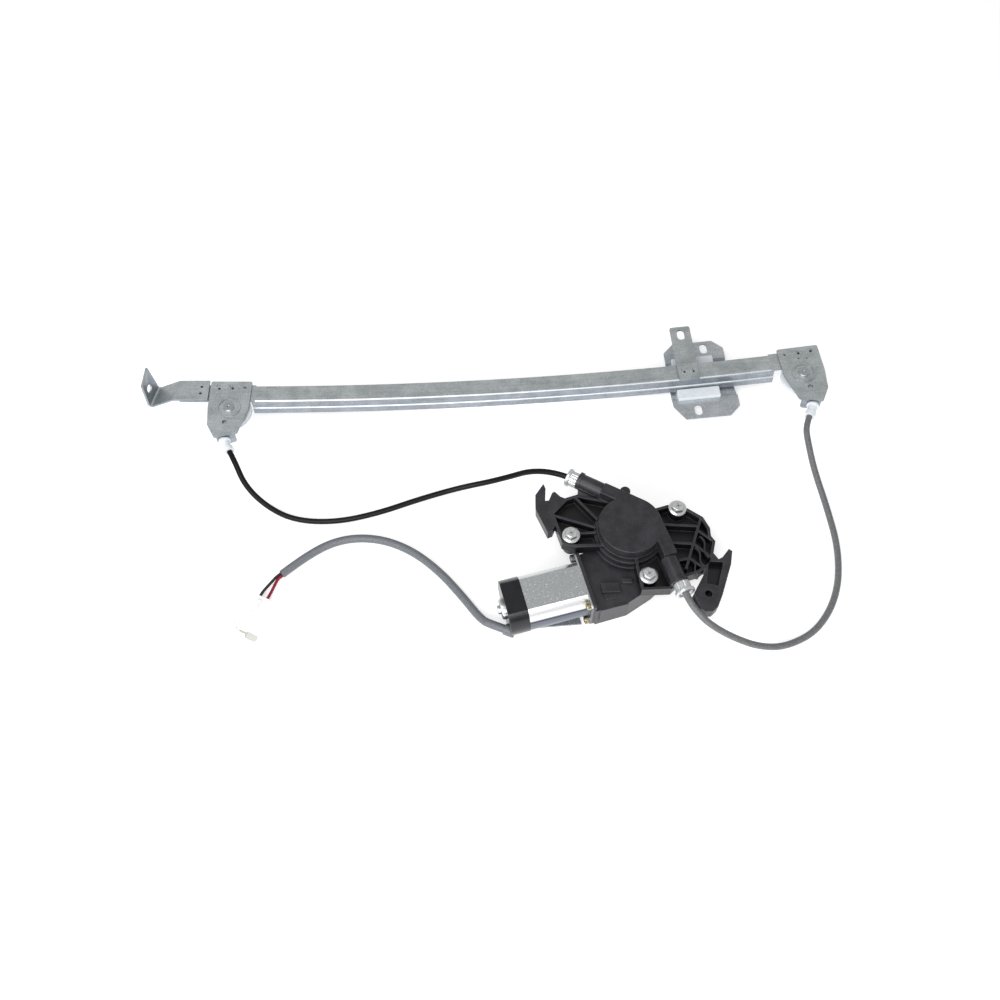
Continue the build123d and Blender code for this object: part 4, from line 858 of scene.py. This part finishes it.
LOOKS = {
    "galvanised_sheet": sheet_steel("galvanised_sheet_look", (0.74, 0.79, 0.80), (0.36, 0.39, 0.40)),
    "carrier_sheet": sheet_steel("carrier_sheet_look", (0.80, 0.84, 0.87), (0.42, 0.45, 0.47), 9.0, 0.3),
    "rivet_steel": bright_steel("rivet_steel_look", (0.64, 0.67, 0.68), (0.42, 0.44, 0.45), 0.28, 1.0),
    "white_plastic": moulded(
        "white_plastic_look", (0.74, 0.78, 0.82), (0.84, 0.88, 0.92), 0.4, rounding=0.4, seed=1,
    ),
    # 0.9 is the strength of the painted edge highlight
    "black_plastic": moulded(
        "black_plastic_look", (0.012, 0.012, 0.015), (0.036, 0.036, 0.043),
        0.38, 0.7, 0.07, 0.55, 2, 0.9,
    ),
    "cable_steel": bright_steel("cable_steel_look", (0.45, 0.45, 0.45), (0.2, 0.2, 0.2), 0.35, 2.0),
    "bright_screw": screw_steel(),
    "yellow_screw": yellow_steel(),
    "can_steel": can_steel(),
    "band_plastic": moulded(
        "band_plastic_look", (0.003, 0.003, 0.005), (0.007, 0.008, 0.011), 0.24, 0.5, 0.02, 0.8, 4,
    ),
    "gear_plastic": moulded("gear_plastic_look", (0.62, 0.59, 0.5), (0.74, 0.72, 0.64), 0.4, seed=5),
    "shaft_steel": bright_steel("shaft_steel_look", seed=5.0),
    "sintered_bronze": copper("sintered_bronze_look", (0.62, 0.42, 0.22), (0.36, 0.22, 0.1)),
    "core_steel": bright_steel("core_steel_look", (0.4, 0.4, 0.42), (0.2, 0.2, 0.21), 0.4, 6.0),
    "winding_copper": copper("winding_copper_look", (0.8, 0.38, 0.2), (0.5, 0.18, 0.08)),
    "ferrite": moulded("ferrite_look", (0.05, 0.05, 0.055), (0.09, 0.09, 0.095), 0.6, seed=7),
    "brush_board": moulded("brush_board_look", (0.16, 0.09, 0.04), (0.26, 0.15, 0.07), 0.6, seed=8),
    "carbon": moulded("carbon_look", (0.02, 0.02, 0.02), (0.04, 0.04, 0.04), 0.5, seed=9),
    "conduit_black": sheath(
        "conduit_black_look", (0.002, 0.002, 0.002), (0.006, 0.006, 0.006), 0.3, 1.0, 0.2,
    ),
    "conduit_grey": sheath("conduit_grey_look", (0.09, 0.092, 0.095), (0.19, 0.194, 0.20), 0.42, 2.0),
    "sleeve_grey": sheath("sleeve_grey_look", (0.10, 0.109, 0.122), (0.175, 0.188, 0.205), 0.42, 3.0),
    "wire_black": sheath("wire_black_look", (0.006, 0.006, 0.007), (0.016, 0.016, 0.016), 0.4, 4.0),
    "wire_red": sheath("wire_red_look", (0.16, 0.006, 0.018), (0.28, 0.012, 0.035), 0.35, 5.0, 0.3),
    "wire_white": sheath("wire_white_look", (0.88, 0.88, 0.87), (0.95, 0.95, 0.94), 0.4, 6.0),
    "connector_clear": moulded(
        "connector_clear_look", (0.84, 0.83, 0.81), (0.93, 0.92, 0.91), 0.3, seed=10,
    ),
    "tinned_contact": bright_steel(
        "tinned_contact_look", (0.98, 0.97, 0.93), (0.80, 0.79, 0.74), 0.3, 7.0,
    ),
    "ferrule_light": ferrule_metal(),
    # 1.0 is the painted edge highlight; below 45.6 mm the housing is painted near-black as shade
    "housing_plastic": moulded(
        "housing_plastic_look", (0.012, 0.012, 0.015), (0.034, 0.034, 0.041),
        0.38, 0.7, 0.07, 0.55, 2, 1.0, 45.6,
    ),
    "grommet_black": sheath("grommet_look", (0.10, 0.11, 0.125), (0.19, 0.205, 0.225), 0.45, 12.0),
}

for name, piece in frame["nodes"].items():
    piece.data.materials.clear()
    piece.data.materials.append(LOOKS[slots[name]])
for name, piece in cords.items():
    piece.data.materials.append(LOOKS[CORDS[name]["slot"]])
for piece, slot in added.items():
    piece.data.materials.clear()
    piece.data.materials.append(LOOKS[OWN_LOOKS.get(piece.name, slot)])


# Floor and studio light

def add_floor():
    """A plain white floor, just under the object's own lowest point."""
    mesh = bpy.data.meshes.new("floor")
    half, low = FLOOR_HALF, -FLOOR_GAP
    corners = [(-half, -half, low), (half, -half, low), (half, half, low), (-half, half, low)]
    mesh.from_pydata(corners, [], [(0, 1, 2, 3)])
    floor = bpy.data.objects.new("floor", mesh)
    bpy.context.collection.objects.link(floor)
    g = Graph("floor_look")
    g.finish((0.85, 0.85, 0.85), 0.9, emission_color=(1, 1, 1), emission_strength=FLOOR_GLOW)
    mesh.materials.append(g.material)


def add_light(name, place, aim, size, power):
    """A soft rectangular light that looks at a point."""
    data = bpy.data.lights.new(name, "AREA")
    data.shape = "RECTANGLE"
    data.size, data.size_y = size
    data.energy = power
    light = bpy.data.objects.new(name, data)
    bpy.context.collection.objects.link(light)
    light.location = place
    light.rotation_euler = (Vector(aim) - Vector(place)).to_track_quat("-Z", "Y").to_euler()


FLOOR_HALF, FLOOR_GAP = 6.0, 0.0004
FLOOR_GLOW = 0.45
SURROUND = 0.5
add_floor()
world = bpy.data.worlds.new("world")
bpy.context.scene.world = world
world.use_nodes = True
background = world.node_tree.nodes["Background"]
background.inputs["Color"].default_value = (1, 1, 1, 1)
background.inputs["Strength"].default_value = SURROUND
add_light("key", (-0.35, -0.95, 0.75), (0.0, -0.05, 0.02), (1.5, 0.55), 12)
add_light("overhead", (-0.35, -0.25, 1.2), (0, 0, 0), (0.8, 0.5), 4)
bpy.context.scene.view_settings.view_transform = "Standard"

bpy.context.view_layer.update()
